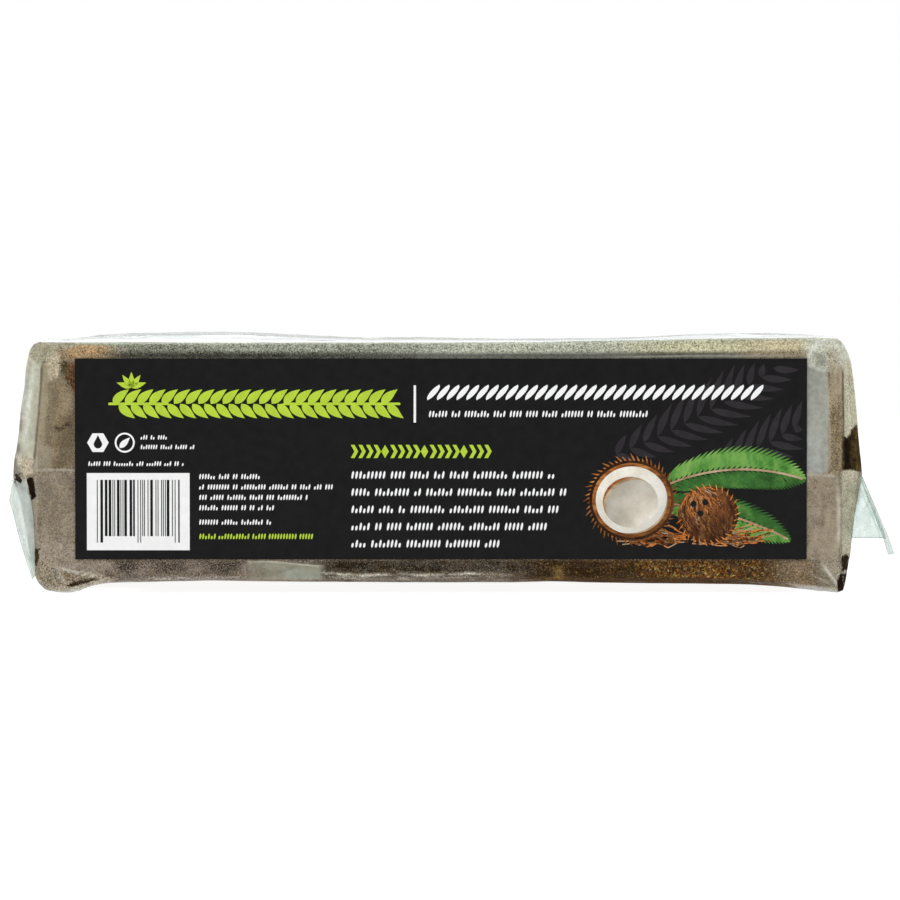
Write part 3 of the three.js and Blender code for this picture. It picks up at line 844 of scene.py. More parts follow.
# gathered ends: folds that fan out from the end of each seal
for sx, apex, seed in ((-1, (-107.2, -45.2, 28.1), 41), (1, (104.9, -46.4, 28.4), 57), (-1, (-107.2, 45.2, 28.1), 61), (1, (104.9, 46.4, 28.4), 73)):
    rel = P - np.array(apex)
    ang = np.arctan2(rel[:, 2], np.abs(rel[:, 0]) * 0.6 + np.abs(rel[:, 1]) * 0.8)
    rad = np.linalg.norm(rel, axis=1)
    near = smooth(46, 6, rad) * (np.sign(X) == sx) * end
    ring = np.sin(ang * 13 + 2.2 * value_noise(np.stack([ang * 6, rad * 0.12, np.full(len(ang), seed * 1.7)], 1), 1.0, seed))
    lift += 0.30 * near * np.abs(ring) ** 0.7 * smooth(1.0, 6.0, rad)
# across each end panel, folds that run from the seal up and down
for sx, seed in ((-1, 91), (1, 97)):
    m = (np.sign(X) == sx) * end * (np.abs(N[:, 0]) > 0.4)
    w = value_noise(np.stack([Y / 7.0, Z * 0.02, np.full(len(Y), seed * 1.1)], 1), 1.0, seed)
    w2 = value_noise(np.stack([Y / 2.6, Z * 0.05, np.full(len(Y), seed * 2.3)], 1), 1.0, seed + 3)
    lift += m * (0.55 * np.abs(w) ** 0.8 + 0.16 * np.abs(w2)) * smooth(0.5, 8, np.abs(Z - 28.2))

# the fold at mid-height on the front, seen at both sides of the label
crease([(-101.4, F, 30.8), (-97, F, 30.9), (-90.5, F, 30.7)], 0.7, 0.22, 0.32, on_front, False)
crease([(91.0, F, 29.6), (95.0, F, 29.5), (98.0, F, 29.3)], 0.9, 0.2, 0.25, on_front, False)
# upper right: a loop of folds round the corner
crease([(91.6, F, 59.5), (93.6, F, 62.2), (96.6, F, 63.3)], 1.1, 0.5, 0.3, on_front)
crease([(96.6, F, 63.0), (98.8, F, 61.4), (99.2, F, 58.0), (98.2, F, 55.0)], 1.2, 0.4, 0.2, None)
crease([(91.4, F, 57.6), (94.0, F, 58.6), (97.6, F, 58.9)], 0.9, 0.2, 0.08, on_front)
crease([(98.3, F, 55.0), (99.0, F, 40.0), (99.4, F, 24.0), (98.9, F, 12.0)], 0.9, 0.2, 0.06, None)
crease([(101.3, -49, 58.0), (102.0, -48.6, 46), (102.9, -47.6, 36)], 1.0, 0.35, 0.4, None)
# lower right: the mitre fold into the corner and the gathers along the lower edge
crease([(92.6, F, 8.6), (96.2, F, 5.0), (99.9, F, 1.2)], 1.0, 0.45, 0.16, on_front)
crease([(86.5, F, 2.4), (92.5, F, 1.8), (99.0, F, 1.0)], 0.8, 0.35, 0.3, on_front)
crease([(94.5, F, 3.8), (97.4, F, 2.9), (100.0, F, 1.6)], 0.8, 0.3, 0.12, on_front)
crease([(99.9, F, 9.0), (100.4, F, 4.5), (100.3, F, 1.4)], 0.8, 0.4, 0.3, None)
# lower left: the belly of slack film under the corner, with a pocket in it
crease([(-96.6, F, 6.3), (-95.2, F, 4.2), (-93.8, F, 1.9)], 0.7, 0.4, 0.22, on_front)
crease([(-96.4, F, 6.2), (-92.0, F, 5.2), (-85.5, F, 3.8), (-80.0, F, 3.2)], 0.8, 0.35, 0.16, on_front)
crease([(-98.8, F, 7.6), (-95.0, F, 6.8), (-90.4, F, 7.6)], 1.2, 0.3, 0.05, on_front)
crease([(-101.6, F, 3.6), (-97.4, F, 1.3), (-91.0, F, 1.5), (-84.0, F, 3.3)], 0.9, 0.35, 0.25, None)
# left: the long upright fold
crease([(-99.9, F, 58.5), (-100.6, F, 45.0), (-101.3, F, 31.0)], 0.9, 0.2, 0.05, None)
crease([(-101.4, F, 29.0), (-101.2, F, 18.0), (-100.6, F, 8.0)], 0.9, 0.2, 0.1, None)
# upper left: slack running in from the corner
crease([(-99.5, F, 60.6), (-96.2, F, 58.0), (-94.0, F, 54.0)], 1.3, 0.3, 0.06, on_front)
crease([(-98.4, F, 62.2), (-90.0, F, 61.8), (-80.0, F, 62.0)], 1.0, 0.2, 0.1, on_front)
# the top's long slack folds
crease([(-97, -30, 0), (-50, -36, 0), (10, -28, 0), (70, -34, 0), (96, -26, 0)], 3.2, 0.5, 0.12, on_top, drop=2)
crease([(-96, 8, 0), (-40, 2, 0), (20, 12, 0), (60, 6, 0)], 4.0, 0.5, 0.1, on_top, drop=2)
crease([(-90, 34, 0), (-20, 30, 0), (40, 36, 0), (94, 30, 0)], 3.0, 0.5, 0.12, on_top, drop=2)
r = random.Random(5)
# and those that fan out from its four corners
for sx, x0 in ((-1, -98.0), (1, 97.0)):
    for sy in (-1, 1):
        for k in range(7):
            a = math.radians(6 + 13 * k + r.uniform(-4, 4))
            l_ = r.uniform(14, 46)
            b = a + r.uniform(-0.25, 0.25)
            p0 = np.array((x0 + sx * r.uniform(0, 2.5), sy * (50 - r.uniform(0, 3)), 0))
            p1 = p0 + np.array((-sx * math.cos(a), -sy * math.sin(a), 0)) * l_ * 0.5
            p2_ = p1 + np.array((-sx * math.cos(b), -sy * math.sin(b), 0)) * l_ * 0.5
            crease([p0, p1, p2_], r.uniform(1.9, 3.6), r.uniform(0.3, 0.65), r.uniform(0.0, 0.22), on_top * (np.abs(N[:, 2]) > 0.5), drop=2)
# short ripples that run in from its long edges
for _ in range(34):
    x0, sy = r.uniform(-88, 88), r.choice((-1, 1))
    l_ = r.uniform(6, 20)
    p0 = np.array((x0, sy * 49.5, 0))
    crease([p0, p0 + np.array((r.uniform(-5, 5), -sy * l_, 0))], r.uniform(1.8, 3.0), r.uniform(0.15, 0.4), r.uniform(0, 0.15), on_top, drop=2)
# the end panels: pleats that fan out from each ear's root to the edges above and below
for sx, x0 in ((-1, -107), (1, 105)):
    m = (np.sign(X) == sx) * smooth(0.25, 0.6, np.abs(N[:, 0])) * end
    for sy in (-1, 1):
        for up in (1, -1):
            for k in range(6):
                y1 = sy * (49 - 7.5 * k + r.uniform(-2, 2))
                z1 = 61.5 if up > 0 else 1.5
                f = r.uniform(0.55, 1.0)
                p0 = np.array((0, sy * (45.5 - 1.2 * k), 28.2 + 1.2 * up))
                p1 = np.array((0, y1, z1))
                crease([p0, p0 + (p1 - p0) * f], r.uniform(1.7, 2.8), r.uniform(0.3, 0.7), r.uniform(0.0, 0.25), m, drop=0)
    # short gathers along the seal
    for _ in range(22):
        y0 = r.uniform(-43, 43)
        up = r.choice((1, -1))
        crease([(0, y0, 28.2 + 0.6 * up), (0, y0 + r.uniform(-3, 3), 28.2 + up * r.uniform(4, 13))], r.uniform(1.4, 2.2),
               r.uniform(0.2, 0.5), r.uniform(0.0, 0.2), m, drop=0)
# the back's long seam, its drag lines and the pulls from its corners
crease([(-98, 0, 30), (97, 0, 30)], 1.0, 0.35, 0.35, side_of == "back", False, drop=1)
for _ in range(26):
    x0, z0_ = r.uniform(-90, 90), r.choice((r.uniform(4, 26), r.uniform(34, 60)))
    l_ = r.uniform(8, 34)
    a = r.gauss(0, 0.22)
    crease([(x0, 0, z0_), (x0 + l_ * math.cos(a), 0, z0_ + l_ * math.sin(a))], r.uniform(1.4, 2.4), r.uniform(0.15, 0.4), r.uniform(0.0, 0.2),
           side_of == "back", drop=1)
for sx in (-1, 1):
    for z0_, s_ in ((61, -1), (2, 1)):
        for k in range(4):
            a = math.radians(12 + 17 * k)
            l_ = r.uniform(9, 24)
            p0 = np.array((sx * 97.0, 0, z0_))
            crease([p0, p0 + np.array((-sx * math.cos(a), 0, s_ * math.sin(a))) * l_], 1.8, r.uniform(0.25, 0.5), r.uniform(0.05, 0.25), side_of == "back", drop=1)

# the end panels' pleats stand in from the outline, not out of it, and the top's are low
panel = end * smooth(0.25, 0.6, np.abs(N[:, 0]))
reach_f = np.repeat(-film[:, :, 1].min(axis=1), NV)
reach_b = np.repeat(film[:, :, 1].max(axis=1), NV)
inner = smooth(0.93, 0.80, np.abs(Y) / np.where(Y < 0, reach_f, reach_b))
room = smooth(5, 15, Z) * smooth(60, 48, Z) * inner
lift = lift * (1 - 0.6 * panel * (1 - room)) - 0.8 * panel * room
slack = np.maximum(panel, end * (Y < -40) * smooth(-48.5, -47.5, Y))
lift = np.where((slack > 0.3) & (lift > 0), 0.12 * np.tanh(lift / 0.12), lift)
lift = np.where(on_top, lift * (0.58 - 0.3 * smooth(84, 96, np.abs(X))), lift)
lift = np.clip(lift, np.where(panel * room > 0.3, -1.3, -0.05), None)
flat_low = (Z < 0.5) & (N[:, 2] < -0.5)
lift = np.where(flat_low, 0, lift)
P2 = P + N * lift[:, None]
P2[:, 2] = np.maximum(P2[:, 2], 0.0)

film_faces = []
vent_at = np.array([38, -F, 45.0])
for i in range(RINGS - 1):
    for j in range(NV):
        a, b = i * NV + j, i * NV + (j + 1) % NV
        film_faces.append((a, b, b + NV, a + NV))
film_faces.append(tuple(range(NV - 1, -1, -1)))
film_faces.append(tuple((RINGS - 1) * NV + k for k in range(NV)))
# the vent hole in the back panel
centre = P2[np.array([f[:4] for f in film_faces[:-2]])].mean(1)
keep = ~((np.linalg.norm(centre - vent_at, axis=1) < 3.0) & (centre[:, 1] > 40))
gone = {v_ for f, k in zip(film_faces[:-2], keep) if not k for v_ in f}
film_faces = [f for f, k in zip(film_faces[:-2], keep) if k] + film_faces[-2:]
for v_ in sorted(gone & {v_ for f in film_faces for v_ in f}):
    away_ = P2[v_, [0, 2]] - vent_at[[0, 2]]
    P2[v_, [0, 2]] = vent_at[[0, 2]] + away_ / np.linalg.norm(away_) * 3.0

# how milky the film is at each place and the colour of that milk, with highlights, reflections and shade painted into
# it in many places, and where dark dust clings to it or painted shade darkens it


def polygon(outline, soft=0.3, rough=0.0, size=1.6, seed=0, depth=(-60, -30)):
    """1 inside an outline of (x, z) seen from the front, 0 outside, within the given depths."""
    o = np.array(outline, float)
    q2 = np.stack([X, Z], 1)
    if rough:
        q2 = q2 + rough * np.stack([fbm(P, size, 2, seed + 300), fbm(P, size, 2, seed + 400)], 1)
    inside = np.zeros(len(P), bool)
    near = np.full(len(P), 1e9)
    for c, d in zip(o, np.roll(o, -1, 0)):
        hit = (c[1] > q2[:, 1]) != (d[1] > q2[:, 1])
        with np.errstate(divide="ignore", invalid="ignore"):
            xc = c[0] + (q2[:, 1] - c[1]) * (d[0] - c[0]) / (d[1] - c[1])
        inside ^= hit & (q2[:, 0] < xc)
        cd = d - c
        t = np.clip(((q2 - c) @ cd) / (cd @ cd), 0, 1)
        near = np.minimum(near, np.linalg.norm(q2 - (c + t[:, None] * cd), axis=1))
    signed = np.where(inside, near, -near)
    return smooth(-soft, soft, signed) * smooth(depth[1] + 4, depth[1], Y) * (Y > depth[0])


haze = np.full(len(P), 0.30) + 0.05 * fbm(P, 12, 3, 21)
milk_and_painted_light = np.zeros((len(P), 3))
milk_and_painted_light[:] = rgb(204, 190, 158)
dust_and_shade = np.zeros(len(P))
dusty = np.full(len(P), 0.3)


def tinge(mask, colour, new_haze=None, dust=None):
    """Within mask, the milk takes this colour and strength, and the film this much fine dust. Many calls paint
    highlights, reflections and shade into the milk this way.
    """
    global milk_and_painted_light, haze, dusty
    m = np.clip(mask, 0, 1)
    milk_and_painted_light = milk_and_painted_light * (1 - m[:, None]) + np.array(rgb(*colour)) * m[:, None]
    if new_haze is not None:
        haze = haze * (1 - m) + new_haze * m
    if dust is not None:
        dusty = dusty * (1 - m) + dust * m


FLAT = np.array([1.0, 0.0, 1.0])


def streak(line, width, colour, strength, fade=0.15):
    """A soft-edged line on the front that fades in and out along its length. The light ones mostly paint highlights
    along folds and edges, the dark ones paint shade in a fold.
    """
    d, t = to_line(P * FLAT, np.array(line) * FLAT)
    m = np.clip(1.25 * (1 - d / width), 0, 1) * smooth(0, fade, t) * smooth(1.0001, 1 - fade, t) * (Y < -40)
    tinge(m, colour, strength, 0.1)


def seen(*points):
    """Places in the front view as (x, z), given in quarter millimetres right and down."""
    return [((a - 442) / 4, (593 - b) / 4) for a, b in points]


def seen_line(*points):
    return [(x, F, z) for x, z in seen(*points)]


dust_and_shade = np.zeros(len(P))
WRAP = 3.2 * fbm(P, 3.0, 2, 90)      # how far round a corner a patch reaches, unevenly


def pocket(outline, soft, rough, seed, amount=1.0, size=1.1, reach=-45.0):
    """Dark brown in the film within an outline in the front view: painted shade in the folds and gaps at the ends and
    corners, dark coir dust along the long strips.
    """
    global dust_and_shade
    m = polygon(outline, soft, rough, size, seed) * smooth(reach + 5, reach - 2, Y + WRAP)
    dust_and_shade = np.maximum(dust_and_shade, amount * m)


# the front's long sides: above the label greener and milkier to the right, a painted reflection, below it clear
strip_up = on_front * smooth(57.5, 59.5, Z) * smooth(-97, -92, X) * smooth(97, 93, X)
tinge(strip_up, (232, 196, 146), 0.42, 0.9)
tinge(strip_up * smooth(-86, -80, X), (190, 196, 174), 0.40 + 0.05 * fbm(P, 6, 2, 51), 1.0)
tinge(strip_up * smooth(-66, -50, X), (204, 211, 190), 0.50 + 0.12 * fbm(P, 7, 3, 52), 1.0)
tinge(strip_up * smooth(-10, 8, X), (218, 222, 200), 0.62 + 0.14 * fbm(P, 7, 3, 53), 0.95)
tinge(strip_up * smooth(36, 60, X), (228, 225, 186), 0.70 + 0.12 * fbm(P, 6, 3, 54), 0.9)
# painted shade: darker bands along the fold at the top of the front
tinge(strip_up * smooth(61.0, 59.2, Z) * smooth(-86, -79, X) * smooth(-4, -30, X), (74, 76, 66), 0.44, 0.9)
tinge(strip_up * smooth(60.6, 59.4, Z) * smooth(-44, -14, X), (110, 111, 102), 0.62, 0.15)
tinge(strip_up * smooth(60.8, 59.6, Z) * smooth(36, 60, X), (110, 109, 91), 0.62, 0.2)
tinge(strip_up * smooth(68, 84, X) * smooth(95, 88, X) * smooth(60.2, 61.4, Z), (230, 218, 178), 0.72, 0.6)
tinge(strip_up * smooth(70, 80, X) * smooth(95, 88, X) * smooth(61.2, 60.0, Z), (184, 166, 134), 0.60, 0.5)
tinge(strip_up * smooth(61.5, 62.4, Z) * smooth(-96, -90, X) * smooth(-74, -80, X), (192, 210, 172), 0.60, 0.3)
tinge(strip_up * smooth(61.7, 62.6, Z - 0.012 * np.clip(X, 0, None)), (222, 228, 204), 0.60, 0.6)
streak(seen_line((600, 357), (700, 356), (802, 356)), 0.3, (190, 188, 176), 0.6)
strip_low = on_front * smooth(8.8, 7.6, Z) * smooth(-93, -84, X) * smooth(95, 92, X)
tinge(strip_low, (196, 178, 158), 0.27 + 0.09 * fbm(P, 5, 3, 55), 0.7)
tinge(strip_low * smooth(-36, -26, X), (186, 172, 144), 0.10 + 0.08 * fbm(P, 5, 3, 56), 0.8)
tinge(strip_low * smooth(14, 30, X) * smooth(88, 78, X), (196, 150, 96), 0.05, 0.2)
tinge(strip_low * smooth(80, 90, X), (206, 176, 138), 0.30, 0.8)
tinge(strip_low * smooth(3.9, 3.2, Z) * smooth(-36, -26, X) * smooth(26, 16, X), (190, 176, 152), 0.22, 1.0)
tinge(polygon(seen((247, 562), (270, 562), (318, 566), (322, 567), (322, 580), (246, 580)), 0.12), (182, 178, 156), 0.56 + 0.08 * fbm(P, 4, 2, 57), 0.15)
tinge(polygon(seen((250, 563), (264, 564), (264, 579), (250, 579)), 0.8), (176, 168, 146), 0.50, 0.3)
tinge(polygon(seen((284, 569), (320, 571), (320, 578), (286, 578)), 0.8), (196, 202, 182), 0.56, 0.0)
streak(seen_line((247, 583), (246.5, 562), (270, 561.5), (321, 566.5), (322, 582)), 0.30, (222, 220, 200), 0.66, 0.04)


def broken(line, width, colour, strength, seed):
    """A streak broken up into short glints."""
    d, t = to_line(P * FLAT, np.array(line) * FLAT)
    m = np.clip(1.25 * (1 - d / width), 0, 1) * smooth(0, 0.1, t) * smooth(1.0001, 0.9, t)
    tinge(m * (Y < -40) * smooth(-0.55, 0.35, fbm(P * np.array([0.45, 1, 1]), 1.4, 2, seed)), colour, strength, 1.0)


for line, width, colour, strength, seed in (
        (((322, 573), (345, 575), (372, 576)), 0.6, (232, 230, 212), 0.84, 84), (((350, 576), (400, 574), (425, 575.5), (446, 574)), 0.55, (236, 228, 214), 0.80, 85),
        (((430, 575), (470, 573.5), (492, 574.5), (516, 576)), 0.5, (238, 230, 218), 0.80, 86), (((322, 577.5), (370, 578.5), (440, 578), (500, 577)), 0.4, (226, 220, 206), 0.50, 81)):
    broken(seen_line(*line), width, colour, strength, seed)
broken(seen_line((110, 579.5), (180, 578.5), (247, 578)), 0.4, (226, 220, 210), 0.5, 83)
tinge(polygon(seen((551, 566), (562, 566), (564, 579), (551, 579)), 0.35, 0.4), (162, 138, 66), 0.46, 0.8)

# left end, above the seal: the smooth end panel with painted highlights down it, a dark line of painted shade in the
# fold, then the brown front
tinge(polygon(seen((31, 344), (43, 350), (42.5, 366), (38.5, 405), (34.5, 445), (33, 459), (8, 459), (10, 429), (20, 381), (25, 355)), 0.3),
      (212, 212, 188), 0.72, 0.1)
streak(seen_line((35, 358), (28, 405), (24, 455)), 1.0, (226, 230, 212), 0.78, 0.2)
streak(seen_line((30, 366), (22, 410), (17, 450)), 0.5, (206, 210, 194), 0.70, 0.2)
tinge(polygon(seen((31, 342), (75, 341), (75, 348), (60, 352), (46, 361), (36, 363), (28, 354)), 0.5, 0.8), (206, 200, 170), 0.52, 0.6)
tinge(polygon(seen((43, 364), (50, 362), (48, 400), (45, 440), (37, 467), (34.5, 458), (38.5, 410)), 0.3, 0.2), (216, 202, 168), 0.50, 0.2)
tinge(polygon(seen((48, 354), (60, 353), (61, 366), (56, 379), (50, 383), (46, 370)), 0.6, 0.8), (228, 214, 182), 0.60, 0.6)
tinge(polygon(seen((50, 384), (62, 380), (74, 396), (75, 468), (38, 468), (46, 430)), 1.8, 0.6), (188, 168, 134), 0.50 + 0.17 * fbm(P * np.array([1.8, 1, 0.35]), 3.4, 3, 62), 0.30)
tinge(polygon(seen((58, 420), (76, 408), (76, 468), (54, 468)), 1.2, 1.0), (165, 145, 113), 0.44 + 0.16 * fbm(P * np.array([1.8, 1, 0.4]), 2.8, 3, 65), 0.36)
tinge(polygon(seen((36, 446), (49, 444), (50, 469), (33, 469)), 0.7, 0.6), (204, 192, 164), 0.46, 0.2)
streak(seen_line((42.8, 360), (41, 392), (37, 436), (33.5, 468)), 0.50, (88, 70, 42), 0.88, 0.08)
# at the seal: a pale speckled patch
tinge(polygon(seen((15, 457), (33, 457), (33, 472), (26, 477), (15, 470)), 0.35, 0.8, 1.0), (226, 212, 182), 0.62, 0.7)
tinge(polygon(seen((14, 477), (26, 477), (30, 492), (16, 492)), 0.5, 0.5), (196, 190, 168), 0.60, 0.9)
# left end, below the seal: brown as far as the block, then clear film with light behind it; its light streaks are
# painted highlights along the folds
tinge(polygon(seen((33, 471), (77, 471), (77, 562), (36, 562)), 0.4), (197, 180, 155), 0.43 + 0.08 * fbm(P, 8, 2, 58) + 0.17 * fbm(P * np.array([1.5, 1, 0.55]), 2.4, 3, 66), 0.44)
tinge(polygon(seen((40, 545), (74, 545), (76, 562), (38, 562)), 1.0, 0.6), (212, 196, 174), 0.49 + 0.16 * fbm(P, 2.0, 3, 67), 0.45)
streak(seen_line((52, 480), (54, 500), (52, 515)), 0.7, (188, 178, 150), 0.50, 0.3)
streak(seen_line((43, 520), (46, 532), (46, 545)), 0.5, (214, 200, 176), 0.46, 0.3)
tinge(polygon(seen((8, 476), (25.5, 480), (29.5, 500), (31, 540), (36, 575), (26, 585), (4, 560)), 0.25, depth=(-60, -20)), (240, 246, 244), 0.62, 0.0)
tinge(polygon(seen((30.5, 500), (36.5, 498), (37.5, 560), (34, 562), (31.8, 530)), 0.3, 0.2), (176, 162, 140), 0.72, 0.4)
streak(seen_line((30.5, 499), (31.2, 530), (33.0, 552)), 0.34, (224, 212, 190), 0.62)
tinge(polygon(seen((34, 560), (78, 562), (104, 574), (120, 586), (62, 597), (34, 592)), 0.5, 0.5), (210, 194, 168), 0.44, 0.9)
tinge(polygon(seen((34, 564), (58, 572), (56, 588), (40, 586)), 0.4, 0.9, 1.0), (204, 190, 160), 0.42, 1.0)
streak(seen_line((57, 566), (61, 576), (66, 586)), 0.26, (222, 212, 190), 0.62)
tinge(polygon(seen((60, 560), (112, 561), (106, 575), (76, 571), (58, 566)), 0.8, 0.5), (208, 191, 171), 0.42, 0.4)
for a_, b_ in ((139, 151), (187, 203), (241, 248)):
    tinge(polygon(seen((a_, 560), (b_, 560), (b_ + 1, 575), (a_ - 1, 575)), 0.9, 0.8), (206, 187, 168), 0.36, 0.6)
streak(seen_line((57, 567), (76, 572), (99, 576.5)), 0.42, (226, 216, 196), 0.70)
tinge(polygon(seen((32, 585), (44, 589), (58, 591), (76, 588.5), (98, 583), (132, 581), (132, 598), (32, 598)), 0.35), (228, 226, 216), 0.64, 0.2)

# right end, above the seal: a painted grey reflection, a painted highlight line, speckled brown, a dark line of painted
# shade in the fold, a pale edge, and painted highlights on the folds round the upper corner
tinge(polygon(seen((829, 364), (843, 364), (843, 474), (828, 474)), 0.3), (196, 176, 142), 0.46 + 0.05 * fbm(P, 3, 2, 59), 0.8)
tinge(polygon(seen((806, 336), (866, 336), (858, 368), (826, 372), (806, 372)), 0.5, 0.5), (228, 229, 207), 0.71 + 0.10 * fbm(P, 2.0, 3, 60), 0.5)
tinge(polygon(seen((826, 350), (838, 352), (842, 372), (828, 370)), 0.9, 0.6), (206, 196, 166), 0.58, 0.8)
tinge(polygon(seen((805, 366), (827, 371), (828, 430), (827.4, 473), (805, 473)), 0.25), (170, 172, 160), 0.85, 0.0)
tinge(polygon(seen((805, 430), (821, 434), (821, 473), (805, 473)), 0.9), (178, 181, 172), 0.85, 0.0)
streak(seen_line((826, 371), (828.5, 400), (829.5, 430), (829, 472)), 0.36, (206, 198, 174), 0.66, 0.1)
tinge(polygon(seen((830, 368), (842, 366), (842, 400), (838, 412), (831, 404)), 0.4, 0.3), (194, 177, 146), 0.60, 0.3)
tinge(polygon(seen((843.5, 360), (856, 360), (862, 425), (852, 432), (846, 440), (843.5, 436)), 0.3, 0.3), (216, 212, 180), 0.66, 0.45)
streak(seen_line((842.5, 368), (843, 405), (843.5, 440)), 0.46, (74, 60, 36), 0.88, 0.08)
tinge(polygon(seen((813, 354), (826, 354), (827, 366), (816, 366)), 1.1, 0.6, 1.0), (168, 170, 154), 0.72, 0.4)
streak(seen_line((808, 358), (811, 350), (820, 342), (832, 338)), 0.42, (234, 236, 224), 0.74)
streak(seen_line((808, 361), (812, 367), (820, 370), (827, 371)), 0.6, (222, 224, 212), 0.66)
streak(seen_line((832, 338), (839, 342), (843, 356), (844, 370)), 0.45, (220, 220, 202), 0.66)
streak(seen_line((822, 346), (832, 350), (838, 364)), 0.35, (216, 216, 200), 0.62)
# right end, below the seal; its light streaks are painted highlights along the folds and the lower edge
tinge(polygon(seen((805, 474), (838, 474), (840, 536), (838, 560), (805, 560)), 0.35), (203, 186, 159), 0.50 + 0.08 * fbm(P, 5, 2, 61) + 0.19 * fbm(P * np.array([1.2, 1, 0.8]), 2.0, 3, 64), 0.28)
streak(seen_line((822, 484), (824, 505), (820, 540)), 0.9, (196, 176, 150), 0.44, 0.3)
tinge(polygon(seen((841, 470), (866, 474), (856, 530), (849, 558), (842, 558)), 0.3, 0.3), (212, 208, 180), 0.60 + 0.08 * fbm(P, 3, 2, 62), 0.5)
streak(seen_line((837.5, 474), (838.8, 512), (838.8, 558)), 0.75, (226, 214, 194), 0.62, 0.3)
tinge(polygon(seen((844, 467), (864, 471), (864, 482), (846, 480)), 0.4, 0.8, 1.0), (222, 212, 184), 0.62, 0.7)
tinge(polygon(seen((820, 560), (840, 560), (842, 588), (835, 586)), 0.35), (206, 194, 170), 0.48, 0.6)
streak(seen_line((819, 560), (831, 575), (841, 589)), 0.55, (222, 216, 200), 0.66, 0.25)
streak(seen_line((838, 572), (843, 582), (846, 590)), 0.3, (226, 222, 210), 0.6, 0.3)
streak(seen_line((806, 572), (822, 580), (838, 589)), 0.3, (208, 200, 182), 0.46, 0.3)
tinge(polygon(seen((798, 585.5), (812, 586), (828, 588.5), (842, 591), (842, 598), (798, 598)), 0.25), (214, 214, 208), 0.60, 0.1)


# dark patches: painted shade in the shadowed folds, gaps and pockets at the ends and corners and in the band under the
# top fold, and dark coir dust along the long strips
pocket(seen((841.5, 434), (847, 438), (852, 431), (857, 425), (861, 436), (864, 459), (865, 474), (852, 470), (840.5, 470)), 0.35, 0.5, 1, 1.0)
pocket(seen((842, 556), (850, 555), (849, 571), (841, 571)), 0.6, 0.6, 2, 0.96, 0.8, reach=-44)
pocket(seen((839, 574), (849, 573), (848, 588), (843, 592.5), (838, 591), (837.5, 580)), 0.3, 0.4, 17, 1.0, reach=-44)
pocket(seen((25.5, 478.5), (32.5, 477), (36.5, 497), (31, 500.5)), 0.2, 0.3, 3, 1.0, reach=-42)
pocket(seen((12, 474.5), (18, 476), (21, 480), (19, 484), (12, 487)), 0.35, 0.6, 4, 0.85, reach=-40)
pocket(seen((34, 548), (40, 548), (39, 558), (35, 567), (33, 560)), 0.2, 0.5, 5, 1.0)
pocket(seen((65, 585.5), (74, 581.5), (99, 577.5), (97, 580), (82, 584), (72, 587)), 0.2, 0.12, 6, 0.84)
pocket(seen((56, 567), (66, 573), (98, 577), (72, 583), (63, 580)), 0.4, 0.3, 14, 0.42, 0.7)
pocket(seen((34, 566), (40, 574), (50, 585), (46, 589), (38, 584), (33, 574)), 0.5, 0.5, 19, 0.34, 0.7)
pocket(seen((57, 363), (66, 360), (77, 363), (77, 396), (72, 392), (64, 379)), 1.1, 0.9, 7, 0.73, 0.8)
pocket(seen((60, 352), (72, 351), (78, 357), (66, 362), (60, 358)), 0.9, 1.0, 8, 0.30, 0.8)
pocket(seen((96, 352), (112, 350), (116, 356), (104, 358)), 0.9, 0.9, 18, 0.54, 0.8)
pocket(seen((48, 427), (62, 424), (72, 421), (72, 425), (58, 432)), 0.3, 0.6, 9, 0.45, 0.7)
pocket(seen((830, 406), (842, 390), (842, 472), (832, 472)), 1.0, 1.1, 10, 0.50, 0.7)
pocket(seen((318, 562), (420, 561), (560, 562), (558, 573), (330, 572)), 0.8, 1.2, 11, 0.50, 1.6)
pocket(seen((420, 562), (560, 561), (556, 580), (520, 580), (500, 570), (440, 571)), 0.8, 1.2, 12, 0.40, 1.6)
pocket(seen((104, 353), (200, 350), (300, 352), (420, 355), (420, 359), (104, 359)), 0.8, 1.0, 13, 0.42, 0.9)
pocket(seen((120, 561), (170, 561), (246, 562), (246, 572), (130, 570)), 0.5, 1.2, 15, 0.34, 1.3)
pocket(seen((845, 372), (851, 372), (853, 392), (847, 392)), 0.8, 0.6, 16, 0.36, 0.6)
pocket(seen((115, 560), (138, 560), (141, 570), (128, 576), (116, 571)), 1.1, 1.1, 40, 0.52, 0.9)
pocket(seen((152, 560), (186, 560), (184, 570), (170, 575), (154, 571)), 1.1, 1.1, 41, 0.50, 0.9)
pocket(seen((204, 560), (240, 560), (242, 572), (222, 577), (206, 570)), 1.1, 1.1, 42, 0.52, 0.9)
pocket(seen((330, 561), (372, 561), (368, 570), (340, 571)), 0.9, 1.1, 43, 0.62, 0.9)
pocket(seen((548, 566), (600, 562), (640, 563), (636, 574), (590, 578), (556, 576)), 1.0, 1.2, 44, 0.34, 0.9)
# a painted highlight: a fold's light line through the lower right patch
d_, t_ = to_line(P * FLAT, np.array(seen_line((842.5, 574), (844, 582), (845.5, 590))) * FLAT)
dust_and_shade = dust_and_shade * (1 - 0.42 * np.clip(1.3 * (1 - d_ / 0.34), 0, 1) * (Y < -40))
# clumps of fine coir behind the film along the front's long edges
lumps = smooth(0.0, 0.45, fbm(P * np.array([0.75, 1, 1]), 2.6, 3, 93))
patch_ = polygon(seen((245, 560), (322, 563), (324, 582), (245, 582)), 0.4)
clump_low = strip_low * lumps * smooth(30, 18, X) * (1 - patch_)
clump_up = strip_up * lumps * smooth(62.6, 61.8, Z)
dust_and_shade = np.maximum(dust_and_shade, 0.56 * clump_low)
dust_and_shade = np.maximum(dust_and_shade, 0.34 * clump_up)
corner_specks = polygon(seen((34, 343), (76, 342), (76, 352), (58, 356), (44, 362), (34, 358)), 0.8, 0.6)
dust_and_shade = np.maximum(dust_and_shade, 0.56 * corner_specks * lumps)
